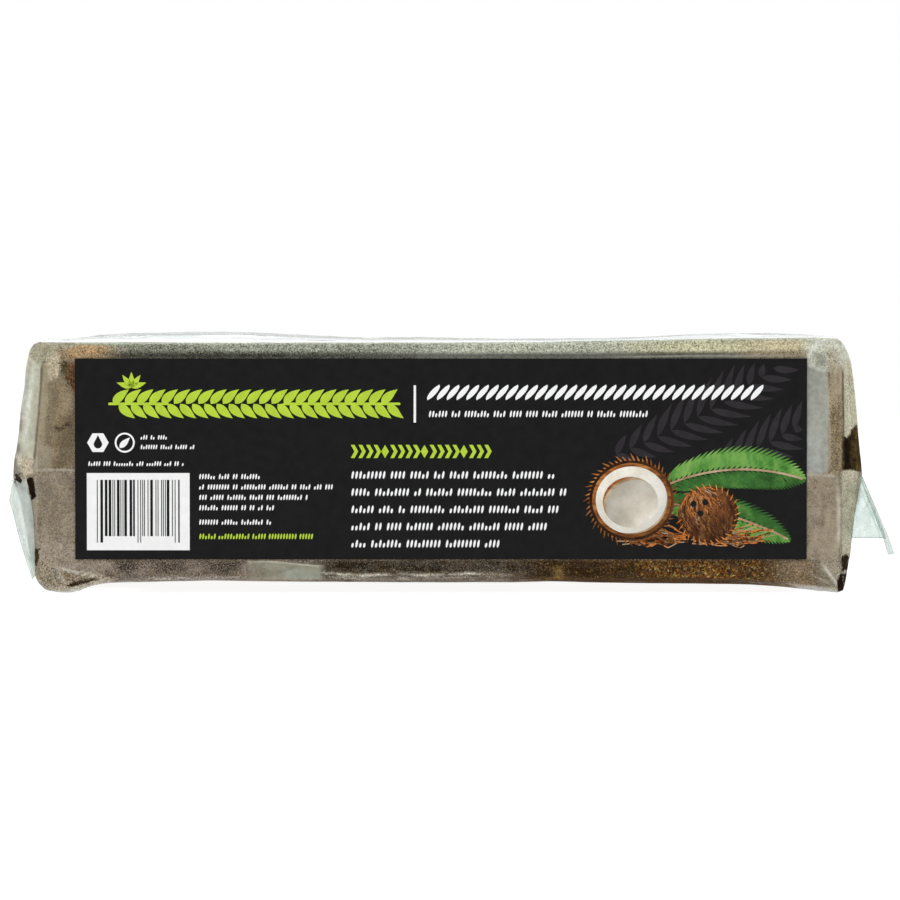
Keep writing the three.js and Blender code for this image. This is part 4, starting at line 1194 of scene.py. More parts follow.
# the colours of the dark patches, painted shade and dust alike: lighter towards the outer edge of the largest patch,
# and in the fold by the upper left corner
dust_and_shade_own = np.clip(0.9 * (clump_low + 0.8 * clump_up), 0, 0.9)
dust_and_shade_tint = np.where((Z > 30)[:, None], np.where((X < -80)[:, None], np.array(rgb(106, 84, 56)), np.array(rgb(92, 92, 78))), np.array(rgb(64, 50, 36))) * dust_and_shade_own[:, None]
for outline, soft, amount, colour in (
        (((853, 418), (860, 430), (866, 474), (855, 474), (852, 440)), 1.6, 0.85, (84, 68, 34)),
        (((54, 360), (68, 356), (69, 384), (60, 384)), 1.5, 0.85, (76, 64, 30)),
        (((69.5, 362), (80, 362), (80, 400), (70.5, 396)), 1.4, 0.85, (110, 66, 42)),
        (((829, 388), (843, 388), (843, 474), (831, 474)), 0.5, 1.0, (104, 88, 60)),
        (((54, 565), (100, 574), (100, 577), (74, 582), (62, 583)), 0.4, 0.9, (112, 90, 58)),
        (((64, 586), (100, 576), (100, 582), (74, 588)), 0.3, 0.5, (70, 48, 26)),
        (((840, 553), (852, 553), (852, 572), (840, 572)), 0.5, 0.3, (52, 42, 24)),
        (((34, 566), (40, 570), (54, 588), (38, 588), (32, 574)), 0.5, 0.8, (96, 84, 62)),
        (((94, 350), (118, 348), (118, 358), (100, 359)), 0.6, 0.8, (84, 78, 58)),
        (((34, 343), (76, 342), (76, 352), (58, 356), (44, 362), (34, 358)), 0.8, 0.9, (104, 92, 62)),
        (((28, 545), (42, 545), (42, 570), (28, 570)), 0.6, 0.5, (82, 70, 40))):
    m_ = amount * polygon(seen(*outline), soft, 0.5, 1.2, 31)
    dust_and_shade_tint = dust_and_shade_tint * (1 - m_[:, None]) + np.array(rgb(*colour)) * m_[:, None]
    dust_and_shade_own = np.maximum(dust_and_shade_own, m_)
dust_and_shade_tint = dust_and_shade_tint / np.maximum(dust_and_shade_own, 0.05)[:, None]
# the same dark brown, painted shade of the folds, at the back corners by each seal's end and low down
for m_x, seed in ((103.4, 21), (-104.8, 22)):
    d = np.linalg.norm((P - np.array((m_x, 46.5, 29.0))) / np.array((3, 5, 5.5)), axis=1)
    dust_and_shade = np.maximum(dust_and_shade, 0.66 * smooth(1.5, 0.4, d + 0.45 * fbm(P, 3.0, 2, seed)))
for m_x, m_z, seed in ((101.0, 5, 23), (-102.2, 7, 24)):
    d = np.linalg.norm((P - np.array((m_x, 47.5, m_z - 2))) / np.array((2.6, 6, 4.2)), axis=1)
    dust_and_shade = np.maximum(dust_and_shade, 0.6 * smooth(1.5, 0.4, d + 0.45 * fbm(P, 2.6, 2, seed)))

# the ends away from the front corners: clear, with the turned-in corners a second layer
away = end * smooth(-47, -43, Y + WRAP)
tinge(away, (222, 206, 176), 0.13 + 0.09 * fbm(P * np.array([1, 0.5, 1]), 10, 3, 71), 0.25)
for sx in (-1, 1):
    for sy in (-1, 1):
        u, w = sy * Y, Z
        upper = (w > 28.2) * smooth(0, 0.9, (u - 20) * 1.0 - (w - 28.2) * 0.86 + 0.3 * fbm(P, 6, 2, 73))
        lower = (w <= 28.2) * smooth(0, 0.9, (u - 24) * 1.0 - (28.2 - w) * 0.92 + 0.3 * fbm(P, 6, 2, 74))
        tinge(away * (np.sign(X) == sx) * np.maximum(upper, lower) * 0.8, (222, 214, 192), 0.22 + 0.07 * fbm(P, 9, 2, 75), 0.25)
tinge(on_top * (1 - end), (226, 214, 188), 0.10 + 0.10 * fbm(P * np.array([0.5, 1, 1]), 16, 3, 72), 0.2)
# slack over the top's long edges is milkier
tinge(on_top * (1 - end) * smooth(-34, -48, Y), (255, 255, 252), 0.26 + 0.12 * fbm(P, 12, 2, 78), 0.0)
tinge((side_of == "back") * (1 - end), (214, 208, 188), 0.17 + 0.10 * fbm(P, 14, 3, 76), 0.4)
cling = 0.75 * strip_low * smooth(12, 26, X) * smooth(92, 82, X)
sheer = smooth(62.2, 62.7, Z) * smooth(-28, -40, Y) * (1 - end)
haze = np.clip(haze, 0.02, 0.88)
# painted highlights: the film milkier and whiter along the creases
cw = np.clip(crease_highlight * 1.5, 0, 1)
haze = np.clip(haze + 0.42 * cw, 0, 0.92)
milk_and_painted_light = milk_and_painted_light * (1 - cw[:, None]) + np.array(rgb(236, 236, 228)) * cw[:, None]


def film_material(name, tint, edge_tint, fine, speckle, gloss=1.0):
    n = Nodes(name)
    v = n.object_coords()
    facing = n.new("ShaderNodeLayerWeight")
    facing.inputs["Blend"].default_value = 0.28
    see = n.new("ShaderNodeBsdfTransparent")
    n.link(n.mix(facing.outputs["Facing"], tint, edge_tint), see.inputs["Color"])
    cloud = n.noise(v, 95, 4, 0.6)
    dust = n.noise(v, 2000, 3, 0.7)
    lumps = n.noise(n.object_coords((700, 700, 820)), 1.0, 3, 0.6)
    scuff = n.noise(n.object_coords((500, 500, 60), (0, 0.4, 0)), 1.0, 3, 0.6)
    milk = n.math("MULTIPLY", n.attribute("haze"), n.remap(cloud, 0.3, 0.72, 0.88, 1.13))
    sift = n.math("MULTIPLY", n.remap(dust, 0.32, 0.68, -speckle, speckle), n.attribute("dusty"))
    milk = n.math("MULTIPLY", milk, n.math("ADD", 1.0, sift))
    milk = n.math("MULTIPLY", milk, n.remap(lumps, 0.32, 0.68, 0.86, 1.14))
    milk = n.math("ADD", milk, n.remap(scuff, 0.62, 0.75, 0.0, 0.08))
    fleck = n.noise(v, 3000, 3, 0.75)
    pale = n.ramp(fleck, [(0.38, (1, 1, 1)), (0.45, (0, 0, 0))])
    milk = n.math("ADD", milk, n.math("MULTIPLY", n.math("MULTIPLY", pale, n.attribute("dusty")), speckle * 0.6), clamp=True)
    ripple = n.noise(n.object_coords((60, 60, 160), (0.2, 0.1, 0.3)), 1.0, 3, 0.55, 0.4)
    wave = n.noise(v, 45, 2)
    height = n.math("ADD", n.math("MULTIPLY", ripple, 0.5), wave)
    for size, turn, move, share in (((24, 70, 70), (0.1, 0.2, 0.5), (0.4, 0.2, 0.1), 0.5), ((90, 34, 60), (0.3, 0.1, 1.1), (0.1, 0.6, 0.3), 0.4),
                                    ((120, 150, 110), (0.7, 0.4, 0.2), (0.8, 0.1, 0.5), 0.18)):
        a = n.noise(n.object_coords(size, turn, move), 1.0, 2, 0.5, 0.4)
        a = n.math("SUBTRACT", 1.0, n.math("ABSOLUTE", n.math("SUBTRACT", n.math("MULTIPLY", a, 2.0), 1.0)))
        height = n.math("ADD", height, n.math("MULTIPLY", n.math("POWER", a, 9.0), share))
    height = n.math("MULTIPLY", height, n.math("SUBTRACT", 1.0, n.math("MULTIPLY", n.attribute("sheer"), 0.85)))
    normal = n.bump(height, fine, 0.0012)
    body = n.principled(Base_Color=n.attribute("milk_and_painted_light", "Color"), Roughness=n.remap(cloud, 0.3, 0.7, 0.35, 0.6), Normal=normal)
    body.inputs["Specular IOR Level"].default_value = 0.2
    m1 = n.new("ShaderNodeMixShader")
    n.link(milk, m1.inputs[0])
    n.link(see.outputs[0], m1.inputs[1])
    n.link(body.outputs[0], m1.inputs[2])
    # where the dark patches are, the film turns dark brown and grainy: painted shade in the folds and gaps, and coir
    # dust
    crumbly = n.math("ADD", n.math("MULTIPLY", n.noise(n.object_coords((1, 1, 0.28)), 900, 3, 0.7), 0.6),
                     n.math("MULTIPLY", n.noise(v, 1300, 3, 0.7), 0.4))
    dust_and_shade_colour = n.ramp(crumbly, [(0.30, rgb(8, 4, 1)), (0.5, rgb(22, 13, 4)), (0.62, rgb(52, 36, 13)), (0.76, rgb(112, 88, 46))])
    own = n.mix(1.0, n.attribute("dust_and_shade_tint", "Color"), n.ramp(crumbly, [(0.32, (0.2, 0.2, 0.2)), (0.5, (0.86, 0.86, 0.86)), (0.7, (2.4, 2.4, 2.4))]), "MULTIPLY")
    dust_and_shade_colour = n.mix(n.attribute("dust_and_shade_own"), dust_and_shade_colour, own)
    dust_and_shade_bsdf = n.principled(Base_Color=dust_and_shade_colour, Roughness=n.remap(crumbly, 0.3, 0.7, 0.8, 1.0), Normal=n.bump(crumbly, 0.5, 0.0004))
    dust_and_shade_bsdf.inputs["Specular IOR Level"].default_value = 0.02
    grit = n.remap(n.noise(v, 3600, 2, 0.6), 0.34, 0.66, 0.02, 1.0)
    dust_and_shade_cover = n.remap(n.math("SUBTRACT", n.math("MULTIPLY", n.attribute("dust_and_shade"), 1.42), grit), 0.0, 0.42)
    flecks = n.ramp(fleck, [(0.54, (0, 0, 0)), (0.61, (1, 1, 1))])
    flecks = n.math("MULTIPLY", n.math("MULTIPLY", flecks, n.attribute("dusty")), 0.62)
    dust_and_shade_cover = n.math("MAXIMUM", dust_and_shade_cover, flecks)
    m0 = n.new("ShaderNodeMixShader")
    n.link(dust_and_shade_cover, m0.inputs[0])
    n.link(m1.outputs[0], m0.inputs[1])
    n.link(dust_and_shade_bsdf.outputs[0], m0.inputs[2])
    shine = n.new("ShaderNodeBsdfGlossy")
    shine.inputs["Color"].default_value = (0.95, 0.97, 0.96, 1)
    n.link(n.remap(cloud, 0.3, 0.7, 0.05, 0.13), shine.inputs["Roughness"])
    n.link(normal, shine.inputs["Normal"])
    fres = n.new("ShaderNodeLayerWeight")
    fres.inputs["Blend"].default_value = 0.33
    n.link(normal, fres.inputs["Normal"])
    m2 = n.new("ShaderNodeMixShader")
    gloss_kept = n.math("SUBTRACT", 1.0, n.math("MAXIMUM", n.math("MULTIPLY", n.attribute("dust_and_shade"), 0.92), n.attribute("cling")))
    slick = n.math("MULTIPLY", n.remap(fres.outputs["Fresnel"], 0.10, 0.36, 0.0, 0.94), n.attribute("sheer"))
    n.link(n.math("MAXIMUM", n.math("MULTIPLY", n.math("MULTIPLY", fres.outputs["Fresnel"], gloss), gloss_kept), slick), m2.inputs[0])
    n.link(m0.outputs[0], m2.inputs[1])
    n.link(shine.outputs[0], m2.inputs[2])
    return n.finish(m2.outputs[0])


film_mat = film_material("shrink_film", (0.965, 0.98, 0.968), (0.87, 0.89, 0.875), 0.35, 0.78)
ear_mat = film_material("shrink_film_doubled", (0.935, 0.968, 0.955), (0.86, 0.89, 0.88), 0.6, 0.3, 0.5)

skin = make("film_skin", P2, film_faces, film_mat)
paint(skin, "haze", haze)
paint(skin, "dust_and_shade", dust_and_shade)
paint(skin, "dusty", dusty)
paint(skin, "sheer", sheer)
paint(skin, "cling", cling)
paint(skin, "dust_and_shade_own", dust_and_shade_own)
paint_colour(skin, "dust_and_shade_tint", dust_and_shade_tint)
paint_colour(skin, "milk_and_painted_light", milk_and_painted_light)
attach(skin, "root")
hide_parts("film_wrap")


# ------------------------------------------------------------------ ears, fins and the back seam
def ruled(name, root, rim, nu, nv, bulge, ripples, seed, haze_at, rim_band=0.0, layers=0.35, milk=(214, 226, 220)):
    """A limp doubled web of film between a root line on the wrap and its own free rim, closed
    round its edges, with folds that fan out of the root's first point."""
    ru, ri = np.array(root, float), np.array(rim, float)
    def resample(c, k):
        s = np.concatenate([[0], np.cumsum(np.linalg.norm(np.diff(c, axis=0), axis=1))])
        t = np.linspace(0, s[-1], k)
        return np.stack([np.interp(t, s, c[:, a]) for a in range(3)], 1)
    A, B = resample(ru, nu), resample(ri, nu)
    t = np.linspace(0, 1, nv)
    g = A[:, None, :] * (1 - t)[None, :, None] + B[:, None, :] * t[None, :, None]
    du, dv = np.gradient(g, axis=0), np.gradient(g, axis=1)
    nn = np.cross(du, dv)
    nn /= np.linalg.norm(nn, axis=2)[:, :, None] + 1e-9
    uu = np.linspace(0, 1, nu)[:, None]
    tt = t[None, :]
    wav = np.sin(uu * ripples * math.pi + 1.3 * np.sin(tt * 4 + seed)) * np.sin(tt * math.pi * 0.5) * 0.45
    sag = bulge * np.sin(uu * math.pi) * np.sin(tt * math.pi * 0.8)
    q0 = g.reshape(-1, 3)
    rough = fbm(q0, 2.2, 2, seed).reshape(nu, nv) * 0.22
    off = sag + wav + rough * np.sin(np.clip(tt, 0, 1) * math.pi * 0.5)
    half = layers * 0.5 * (np.sin(uu * math.pi) ** 0.5) * (np.sin(np.clip(tt, 0, 0.999) * math.pi) ** 0.5) + 0.03
    front, back = g + nn * (off + half)[:, :, None], g + nn * (off - half)[:, :, None]
    pts = np.concatenate([front.reshape(-1, 3), back.reshape(-1, 3)])
    m = nu * nv
    faces = []
    for i in range(nu - 1):
        for k in range(nv - 1):
            a = i * nv + k
            faces.append((a, a + nv, a + nv + 1, a + 1))
            faces.append((m + a, m + a + 1, m + a + nv + 1, m + a + nv))
    border = [i * nv for i in range(nu)] + [(nu - 1) * nv + k for k in range(1, nv)]
    border += [i * nv + nv - 1 for i in range(nu - 2, -1, -1)] + [k for k in range(nv - 2, 0, -1)]
    for a, b in zip(border, border[1:] + border[:1]):
        faces.append((a, m + a, m + b, b))
    hz = haze_at + 0.10 * fbm(q0, 3.0, 2, seed + 5) + 0.25 * np.clip(np.abs(wav).reshape(-1) * 1.6 - 0.35, 0, 1)
    if rim_band:
        d = np.linalg.norm(g - B[:, None, :], axis=2).reshape(-1)
        line = np.clip(1 - np.abs(d - rim_band) / 0.3, 0, 1) + np.clip(1 - d / 0.25, 0, 1)
        hz = hz + 0.35 * line
    hz = np.clip(np.concatenate([hz, hz]), 0.02, 0.8)
    ob = make(name, pts, faces, ear_mat)
    paint(ob, "haze", hz)
    paint_colour(ob, "milk_and_painted_light", np.tile(np.array(rgb(*milk)), (len(pts), 1)))
    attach(ob, "root")
    return ob


# front right: seal edge from the seal's end out to a free tip, lower edge level
ruled("film_ear_front_right", [(105.0, -46.2, 28.6), (104.2, -46.6, 24), (103.2, -47.4, 18.5), (102.4, -48.4, 13.6)],
      [(105.3, -46.6, 28.8), (107.9, -49.6, 21.6), (110.4, -52.2, 15.4), (110.9, -52.6, 13.7)], 34, 22, 0.5, 2.0, 5, 0.28, 1.4, milk=(194, 217, 208))
# its seal band runs on past the web as a loose tail
ruled("film_tail_front_right", [(104.9, -46.7, 28.9), (107.7, -49.4, 20.6), (110.2, -52.0, 13.6), (111.3, -53.0, 9.6)],
      [(105.6, -46.9, 29.0), (108.9, -49.9, 20.9), (111.6, -52.5, 14.0), (112.8, -53.5, 9.9)], 40, 6, 0.1, 1.0, 9, 0.46, 0.0, 0.12, milk=(226, 236, 232))
ruled("film_ear_front_left", [(-107.2, -45.2, 28.0), (-104.2, -48.4, 26.4), (-102.9, -49.75, 23.4), (-102.2, -50.25, 19.0), (-101.9, -50.3, 11.0), (-101.9, -50.2, 4.2)],
      [(-107.7, -45.6, 28.0), (-108.7, -48.6, 23.2), (-106.9, -50.4, 17.6), (-105.5, -50.9, 12.6), (-104.2, -51.0, 8.2), (-102.4, -50.6, 3.4)],
      40, 22, 0.55, 2.6, 14, 0.40, 0.9, milk=(224, 231, 225))
ruled("film_ear_back_right", [(105.0, 46.2, 28.6), (104.0, 47.0, 22), (102.4, 48.6, 11.6)],
      [(105.3, 46.6, 28.6), (108.6, 50.4, 18.6), (107.4, 51.6, 12.4), (103.4, 50.4, 11.2)], 34, 18, 0.7, 3.0, 23, 0.18, 1.2)
ruled("film_ear_back_left", [(-107.2, 45.0, 28.0), (-105.6, 46.6, 20.4), (-103.0, 49.0, 12.6)],
      [(-107.6, 45.6, 28.2), (-108.9, 49.4, 18.4), (-107.4, 51.0, 13.0), (-104.0, 50.6, 12.2)], 34, 18, 0.6, 3.0, 29, 0.18, 1.2)


def strip(name, start, end_, out_dir, width, seed, droop=0.4):
    """A seal's trimmed fin: two skins welded in a narrow band, its cut edge a little wavy."""
    k = 120
    s = np.linspace(0, 1, k)
    a = np.array(start, float)[None] * (1 - s)[:, None] + np.array(end_, float)[None] * s[:, None]
    rim = a + np.array(out_dir, float) * (width * (1 + 0.18 * value_noise(np.stack([s * 30, s * 0, s * 0 + seed], 1), 1.0, seed)))[:, None]
    rim[:, 2] += droop * value_noise(np.stack([s * 9, s * 0, s * 0 + seed], 1), 1.0, seed + 1)
    return ruled(name, a, rim, k, 6, 0.0, 0.0, seed, 0.34, 0.5, 0.08)


strip("film_fin_left", (-107.3, -42.6, 28.1), (-107.3, 42.6, 28.1), (-0.86, 0, -0.5), 1.5, 3)
strip("film_fin_right", (105.0, 43.6, 28.4), (105.0, -43.6, 28.4), (0.86, 0, -0.5), 1.5, 7)
strip("film_fin_back", (97.4, 50.6, 30.0), (-98.4, 50.6, 30.0), (0, 0.8, -0.6), 1.5, 13)

# the melted rim of the punched vent hole, on the film's own surface there
hole = P2[sorted(gone & {v_ for f in film_faces for v_ in f})]
turn = np.linspace(0, 2 * math.pi, 48, endpoint=False)
order = np.argsort(np.arctan2(hole[:, 2] - vent_at[2], hole[:, 0] - vent_at[0]))
around = np.arctan2(hole[order, 2] - vent_at[2], hole[order, 0] - vent_at[0])
rim_y = np.interp(turn, around, hole[order, 1], period=2 * math.pi)
rim_pts, rim_faces = [], []
for i, t in enumerate(turn):
    for k in range(6):
        b = 2 * math.pi * k / 6
        rr = 3.02 + 0.16 * math.cos(b) * (1 + 0.25 * math.sin(3.1 * t + 1))
        rim_pts.append((vent_at[0] + rr * math.cos(t), rim_y[i] + 0.13 * math.sin(b), vent_at[2] + rr * math.sin(t)))
        i2, k2 = (i + 1) % 48, (k + 1) % 6
        rim_faces.append((i * 6 + k, i * 6 + k2, i2 * 6 + k2, i2 * 6 + k))
vent_rim = make("film_vent_rim", rim_pts, rim_faces, ear_mat)
paint(vent_rim, "haze", np.full(len(rim_pts), 0.5))
paint_colour(vent_rim, "milk_and_painted_light", np.tile(np.array(rgb(220, 228, 222)), (len(rim_pts), 1)))
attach(vent_rim, "root")

# ================================================================== the label
LX, LZ, LW, LH = -0.275, 33.5, 182.9, 50.2
LABEL_Y = -51.25 + 0.02
nx_, nz_ = 180, 50
gx = np.linspace(LX - LW / 2, LX + LW / 2, nx_ + 1)
gz = np.linspace(LZ - LH / 2, LZ + LH / 2, nz_ + 1)


def label_y(x, z):
    """The label's printed face: nearly flat, with the faint unevenness of what is behind it."""
    p = np.stack([x, np.zeros_like(x), z], 1)
    return LABEL_Y + 0.10 + 0.035 * fbm(p, 30, 2, 63)


def label_points(x, z, y_off=0.0):
    x, z = np.asarray(x, float), np.asarray(z, float)
    return np.stack([x, label_y(x, z) - y_off, z], 1)


XX, ZZ = np.meshgrid(gx, gz, indexing="ij")
fp = label_points(XX.ravel(), ZZ.ravel())
bp = fp.copy()
bp[:, 1] += 0.14
lp = np.concatenate([fp, bp])
M = len(fp)
lf = []
for i in range(nx_):
    for k in range(nz_):
        a = i * (nz_ + 1) + k
        lf.append((a, a + nz_ + 1, a + nz_ + 2, a + 1))
        lf.append((M + a, M + a + 1, M + a + nz_ + 2, M + a + nz_ + 1))
rim = [i * (nz_ + 1) for i in range(nx_ + 1)] + [nx_ * (nz_ + 1) + k for k in range(1, nz_ + 1)]
rim += [i * (nz_ + 1) + nz_ for i in range(nx_ - 1, -1, -1)] + [k for k in range(nz_ - 1, 0, -1)]
for a, b in zip(rim, rim[1:] + rim[:1]):
    lf.append((a, M + a, M + b, b))


def ink(name, colour, spread=0.06, rough=0.5, spec=0.12, scale=400):
    """A printed colour: slight mottling of the ink and the paper's fine tooth."""
    n = Nodes(name)
    v = n.object_coords()
    mottle = n.noise(v, scale, 3, 0.6)
    dark = tuple(c * (1 - spread * 2) for c in colour)
    light = tuple(min(1, c * (1 + spread)) for c in colour)
    col = n.mix(n.remap(mottle, 0.3, 0.7), dark, light)
    p = n.principled(Base_Color=col, Roughness=n.remap(n.noise(v, 60, 3), 0.3, 0.7, rough - 0.06, rough + 0.08),
                     Normal=n.bump(n.noise(v, 2200, 2), 0.12, 0.0001))
    p.inputs["Specular IOR Level"].default_value = spec
    return n.finish(p.outputs[0])


INKS = {
    "ground": ink("label_ground", (0.0125, 0.0118, 0.0120), 0.10, 0.55, 0.10),
    "shade": ink("label_shade", rgb(50, 47, 50), 0.10, 0.55, 0.10),
    "lime": ink("label_lime", rgb(184, 214, 62), 0.05),
    "white": ink("label_white", rgb(246, 246, 246), 0.02),
    "black": ink("label_black", rgb(30, 29, 29), 0.05),
}


def picture_ink(name, stops, scale, stretch=(1, 1, 1), detail=4, round_at=None):
    """A printed picture's colour. round_at = (x, z, radius, shade) lights it from that place, as
    a round thing is lit, down to shade at the radius."""
    n = Nodes(name)
    v = n.object_coords(stretch)
    a = n.noise(v, scale, detail, 0.65)
    col = n.ramp(a, stops)
    if round_at:
        cx, cz, reach_, shade_ = round_at
        k = 1000 / reach_
        at = n.object_coords((k, 0, k), (0, 0, 0), (-(cx + SHIFT[0]) / reach_, 0, -cz / reach_))
        fall = n.new("ShaderNodeTexGradient", gradient_type="SPHERICAL")
        n.link(at, fall.inputs["Vector"])
        col = n.mix(1.0, col, n.ramp(fall.outputs["Fac"], [(0.0, (shade_,) * 3), (0.45, ((1 + shade_) / 2,) * 3), (0.85, (1.05, 1.05, 1.05))]), "MULTIPLY")
    dots = n.voronoi(n.object_coords(), 2400)
    col = n.mix(n.remap(dots, 0.0, 0.5, 0.12, 0.0), col, (0.02, 0.02, 0.015))
    p = n.principled(Base_Color=col, Roughness=n.remap(a, 0.3, 0.7, 0.45, 0.6), Normal=n.bump(dots, 0.06, 0.0001))
    p.inputs["Specular IOR Level"].default_value = 0.12
    return n.finish(p.outputs[0])


INKS["husk"] = picture_ink("print_husk", [(0.25, rgb(92, 52, 24)), (0.45, rgb(150, 88, 40)), (0.6, rgb(188, 124, 62)), (0.78, rgb(216, 168, 108))], 520, (0.35, 1, 1.6), 4, (41.0, 31.0, 26.0, 0.35))
INKS["husk_dark"] = picture_ink("print_husk_dark", [(0.3, rgb(62, 34, 18)), (0.55, rgb(112, 66, 34)), (0.75, rgb(176, 120, 72))], 600, (1, 1, 0.4), 4, (62.5, 25.0, 17.0, 0.22))
INKS["husk_lit"] = picture_ink("print_husk_lit", [(0.25, rgb(118, 68, 32)), (0.5, rgb(172, 108, 56)), (0.75, rgb(222, 170, 108))], 700, (1, 1, 0.4), 4, (62.8, 24.4, 14.0, 0.25))
INKS["flesh"] = picture_ink("print_flesh", [(0.3, rgb(222, 214, 196)), (0.5, rgb(240, 236, 224)), (0.72, rgb(252, 250, 245))], 120, (1, 1, 1), 4, (42.0, 30.0, 30.0, 0.6))
INKS["hollow"] = picture_ink("print_hollow", [(0.25, rgb(176, 168, 150)), (0.5, rgb(214, 206, 190)), (0.75, rgb(240, 234, 222))], 90, (1, 1, 1), 4, (51.5, 18.5, 17.0, 0.42))
INKS["leaf"] = picture_ink("print_leaf", [(0.25, rgb(48, 104, 40)), (0.45, rgb(86, 146, 62)), (0.62, rgb(124, 172, 84)), (0.8, rgb(172, 200, 120))], 260, (1, 1, 0.5))
INKS["leaf_dark"] = picture_ink("print_leaf_dark", [(0.3, rgb(34, 74, 32)), (0.55, rgb(64, 116, 50)), (0.8, rgb(104, 150, 74))], 260)
INKS["amber"] = picture_ink("print_amber", [(0.25, rgb(176, 86, 30)), (0.45, rgb(214, 122, 52)), (0.65, rgb(230, 156, 84)), (0.82, rgb(240, 194, 140))], 420, (1, 1, 0.3))
INKS["tan"] = picture_ink("print_tan", [(0.25, rgb(130, 104, 76)), (0.5, rgb(178, 150, 116)), (0.78, rgb(214, 192, 160))], 420, (0.4, 1, 1))
ORDER = list(INKS)
label_mats = [INKS[k] for k in ORDER]
art_pts, art_faces, art_mat = [], [], []


def shape(outline, what, level):
    """A printed shape: outline is a list of (x, z) in the label's plane, in order round it."""
    o = np.array(outline, float)
    if len(o) < 3:
        return
    area2 = (o[:, 0] * np.roll(o[:, 1], -1) - np.roll(o[:, 0], -1) * o[:, 1]).sum()
    if area2 < 0:
        o = o[::-1]
    start = len(art_pts)
    art_pts.extend(label_points(o[:, 0], o[:, 1], 0.012 + 0.012 * level).tolist())
    art_faces.append(tuple(range(start, start + len(o))))
    art_mat.append(ORDER.index(what))


def bar(x0, z0, x1, z1, what, level, r=0.0, lean=0.0):
    if r <= 0:
        shape([(x0, z0), (x1, z0), (x1 + lean, z1), (x0 + lean, z1)], what, level)
        return
    r = min(r, abs(x1 - x0) / 2, abs(z1 - z0) / 2)
    o = []
    for cx, cz, a in ((x1 - r, z1 - r, 0), (x0 + r, z1 - r, 90), (x0 + r, z0 + r, 180), (x1 - r, z0 + r, 270)):
        for k in range(5):
            t = math.radians(a + 90 * k / 4)
            o.append((cx + r * math.cos(t), cz + r * math.sin(t)))
    shape(o, what, level)


def disc(cx, cz, r, what, level, squash=1.0, n_=48):
    shape([(cx + r * math.cos(t), cz + r * squash * math.sin(t)) for t in np.linspace(0, 2 * math.pi, n_, endpoint=False)], what, level)


def crescent(cx, cz, r, thick, what, level, a0, a1, squash=1.0):
    """A sliver along the inside of a circle, pointed at both ends."""
    ks = np.linspace(0, 1, 29)
    ts = np.radians(a0 + (a1 - a0) * ks)
    outer = [(cx + r * math.cos(t), cz + r * squash * math.sin(t)) for t in ts]
    inner_ = [(cx + (r - thick * math.sin(math.pi * k)) * math.cos(t), cz + (r - thick * math.sin(math.pi * k)) * squash * math.sin(t))
              for k, t in zip(ks, ts)]
    shape(outer + inner_[::-1][1:-1], what, level)


def ring(cx, cz, r0, r1, what, level, a0=0.0, a1=360.0, squash=1.0):
    """A band between two circles, as four-sided patches."""
    k = max(3, int(abs(a1 - a0) / 5))
    ts = np.radians(np.linspace(a0, a1, k + 1))
    for t0, t1 in zip(ts[:-1], ts[1:]):
        shape([(cx + r0 * math.cos(t0), cz + r0 * squash * math.sin(t0)), (cx + r1 * math.cos(t0), cz + r1 * squash * math.sin(t0)),
               (cx + r1 * math.cos(t1), cz + r1 * squash * math.sin(t1)), (cx + r0 * math.cos(t1), cz + r0 * squash * math.sin(t1))], what, level)


def leaf(x, z, length, width, angle, what, level, curl=0.0):
    """A pointed leaf from its foot at (x, z)."""
    a = math.radians(angle)
    left, right = [], []
    for t in np.linspace(0, 1, 9):
        w = width / 2 * math.sin(math.pi * t**0.75) * (1 - 0.15 * t)
        b = a + curl * t
        cx = x + length * t * math.cos(a + curl * t * 0.5)
        cz = z + length * t * math.sin(a + curl * t * 0.5)
        left.append((cx - w * math.sin(b), cz + w * math.cos(b)))
        right.append((cx + w * math.sin(b), cz - w * math.cos(b)))
    shape(right + left[::-1][1:-1], what, level)


def grains(x0, x1, z, h, what, level, seed, pitch=0.92, width=0.56, lean=0.3, gap=0.85, lo=2, hi=9):
    """A level row of slim leaning seeds, in groups of differing length."""
    r = random.Random(seed)
    x = x0
    while x < x1 - pitch:
        for _ in range(r.randint(lo, hi)):
            if x > x1 - width:
                break
            tall = h * r.choice((1.0, 1.0, 1.0, 0.62))
            body = []
            for t, s in ((0, 0), (0.18, 1), (0.5, 1), (0.82, 1), (1, 0), (0.82, -1), (0.5, -1), (0.18, -1)):
                k = s * width / 2 * (1.0 if t == 0.5 else 0.8)
                body.append((x + width / 2 + lean * (t * tall / h) + k, z + t * tall))
            shape(body, what, level)
            x += pitch
        x += gap


# faint ground pattern at the right: long palm leaves that cross it at a slant


def faint_frond(x, z, length, angle, curl, side_len, pairs):
    a = math.radians(angle)
    for k in range(pairs):
        t = k / pairs
        x += length / pairs * math.cos(a)
        z += length / pairs * math.sin(a)
        a += curl / pairs
        if not (LX - LW / 2 + 1.5 < x < LX + LW / 2 - 1.5 and LZ - LH / 2 + 1.5 < z < LZ + LH / 2 - 1.5):
            continue
        l_ = side_len * math.sin(math.pi * min(1, 0.15 + 0.82 * t)) ** 0.8
        for s_ in (48, -48):
            b = a + math.radians(s_)
            reach = l_
            while reach > 1 and not (LX - LW / 2 + 0.8 < x + reach * math.cos(b) < LX + LW / 2 - 0.8
                                     and LZ - LH / 2 + 0.8 < z + reach * math.sin(b) < LZ + LH / 2 - 0.8):
                reach -= 0.5
            if reach > 2:
                leaf(x, z, reach, 1.9, math.degrees(b), "shade", 0, 0.25 if s_ < 0 else -0.25)


faint_frond(40.0, 33.5, 56, 20, 0.35, 10.5, 15)
faint_frond(60.0, 27.5, 38, 22, 0.2, 9.5, 11)

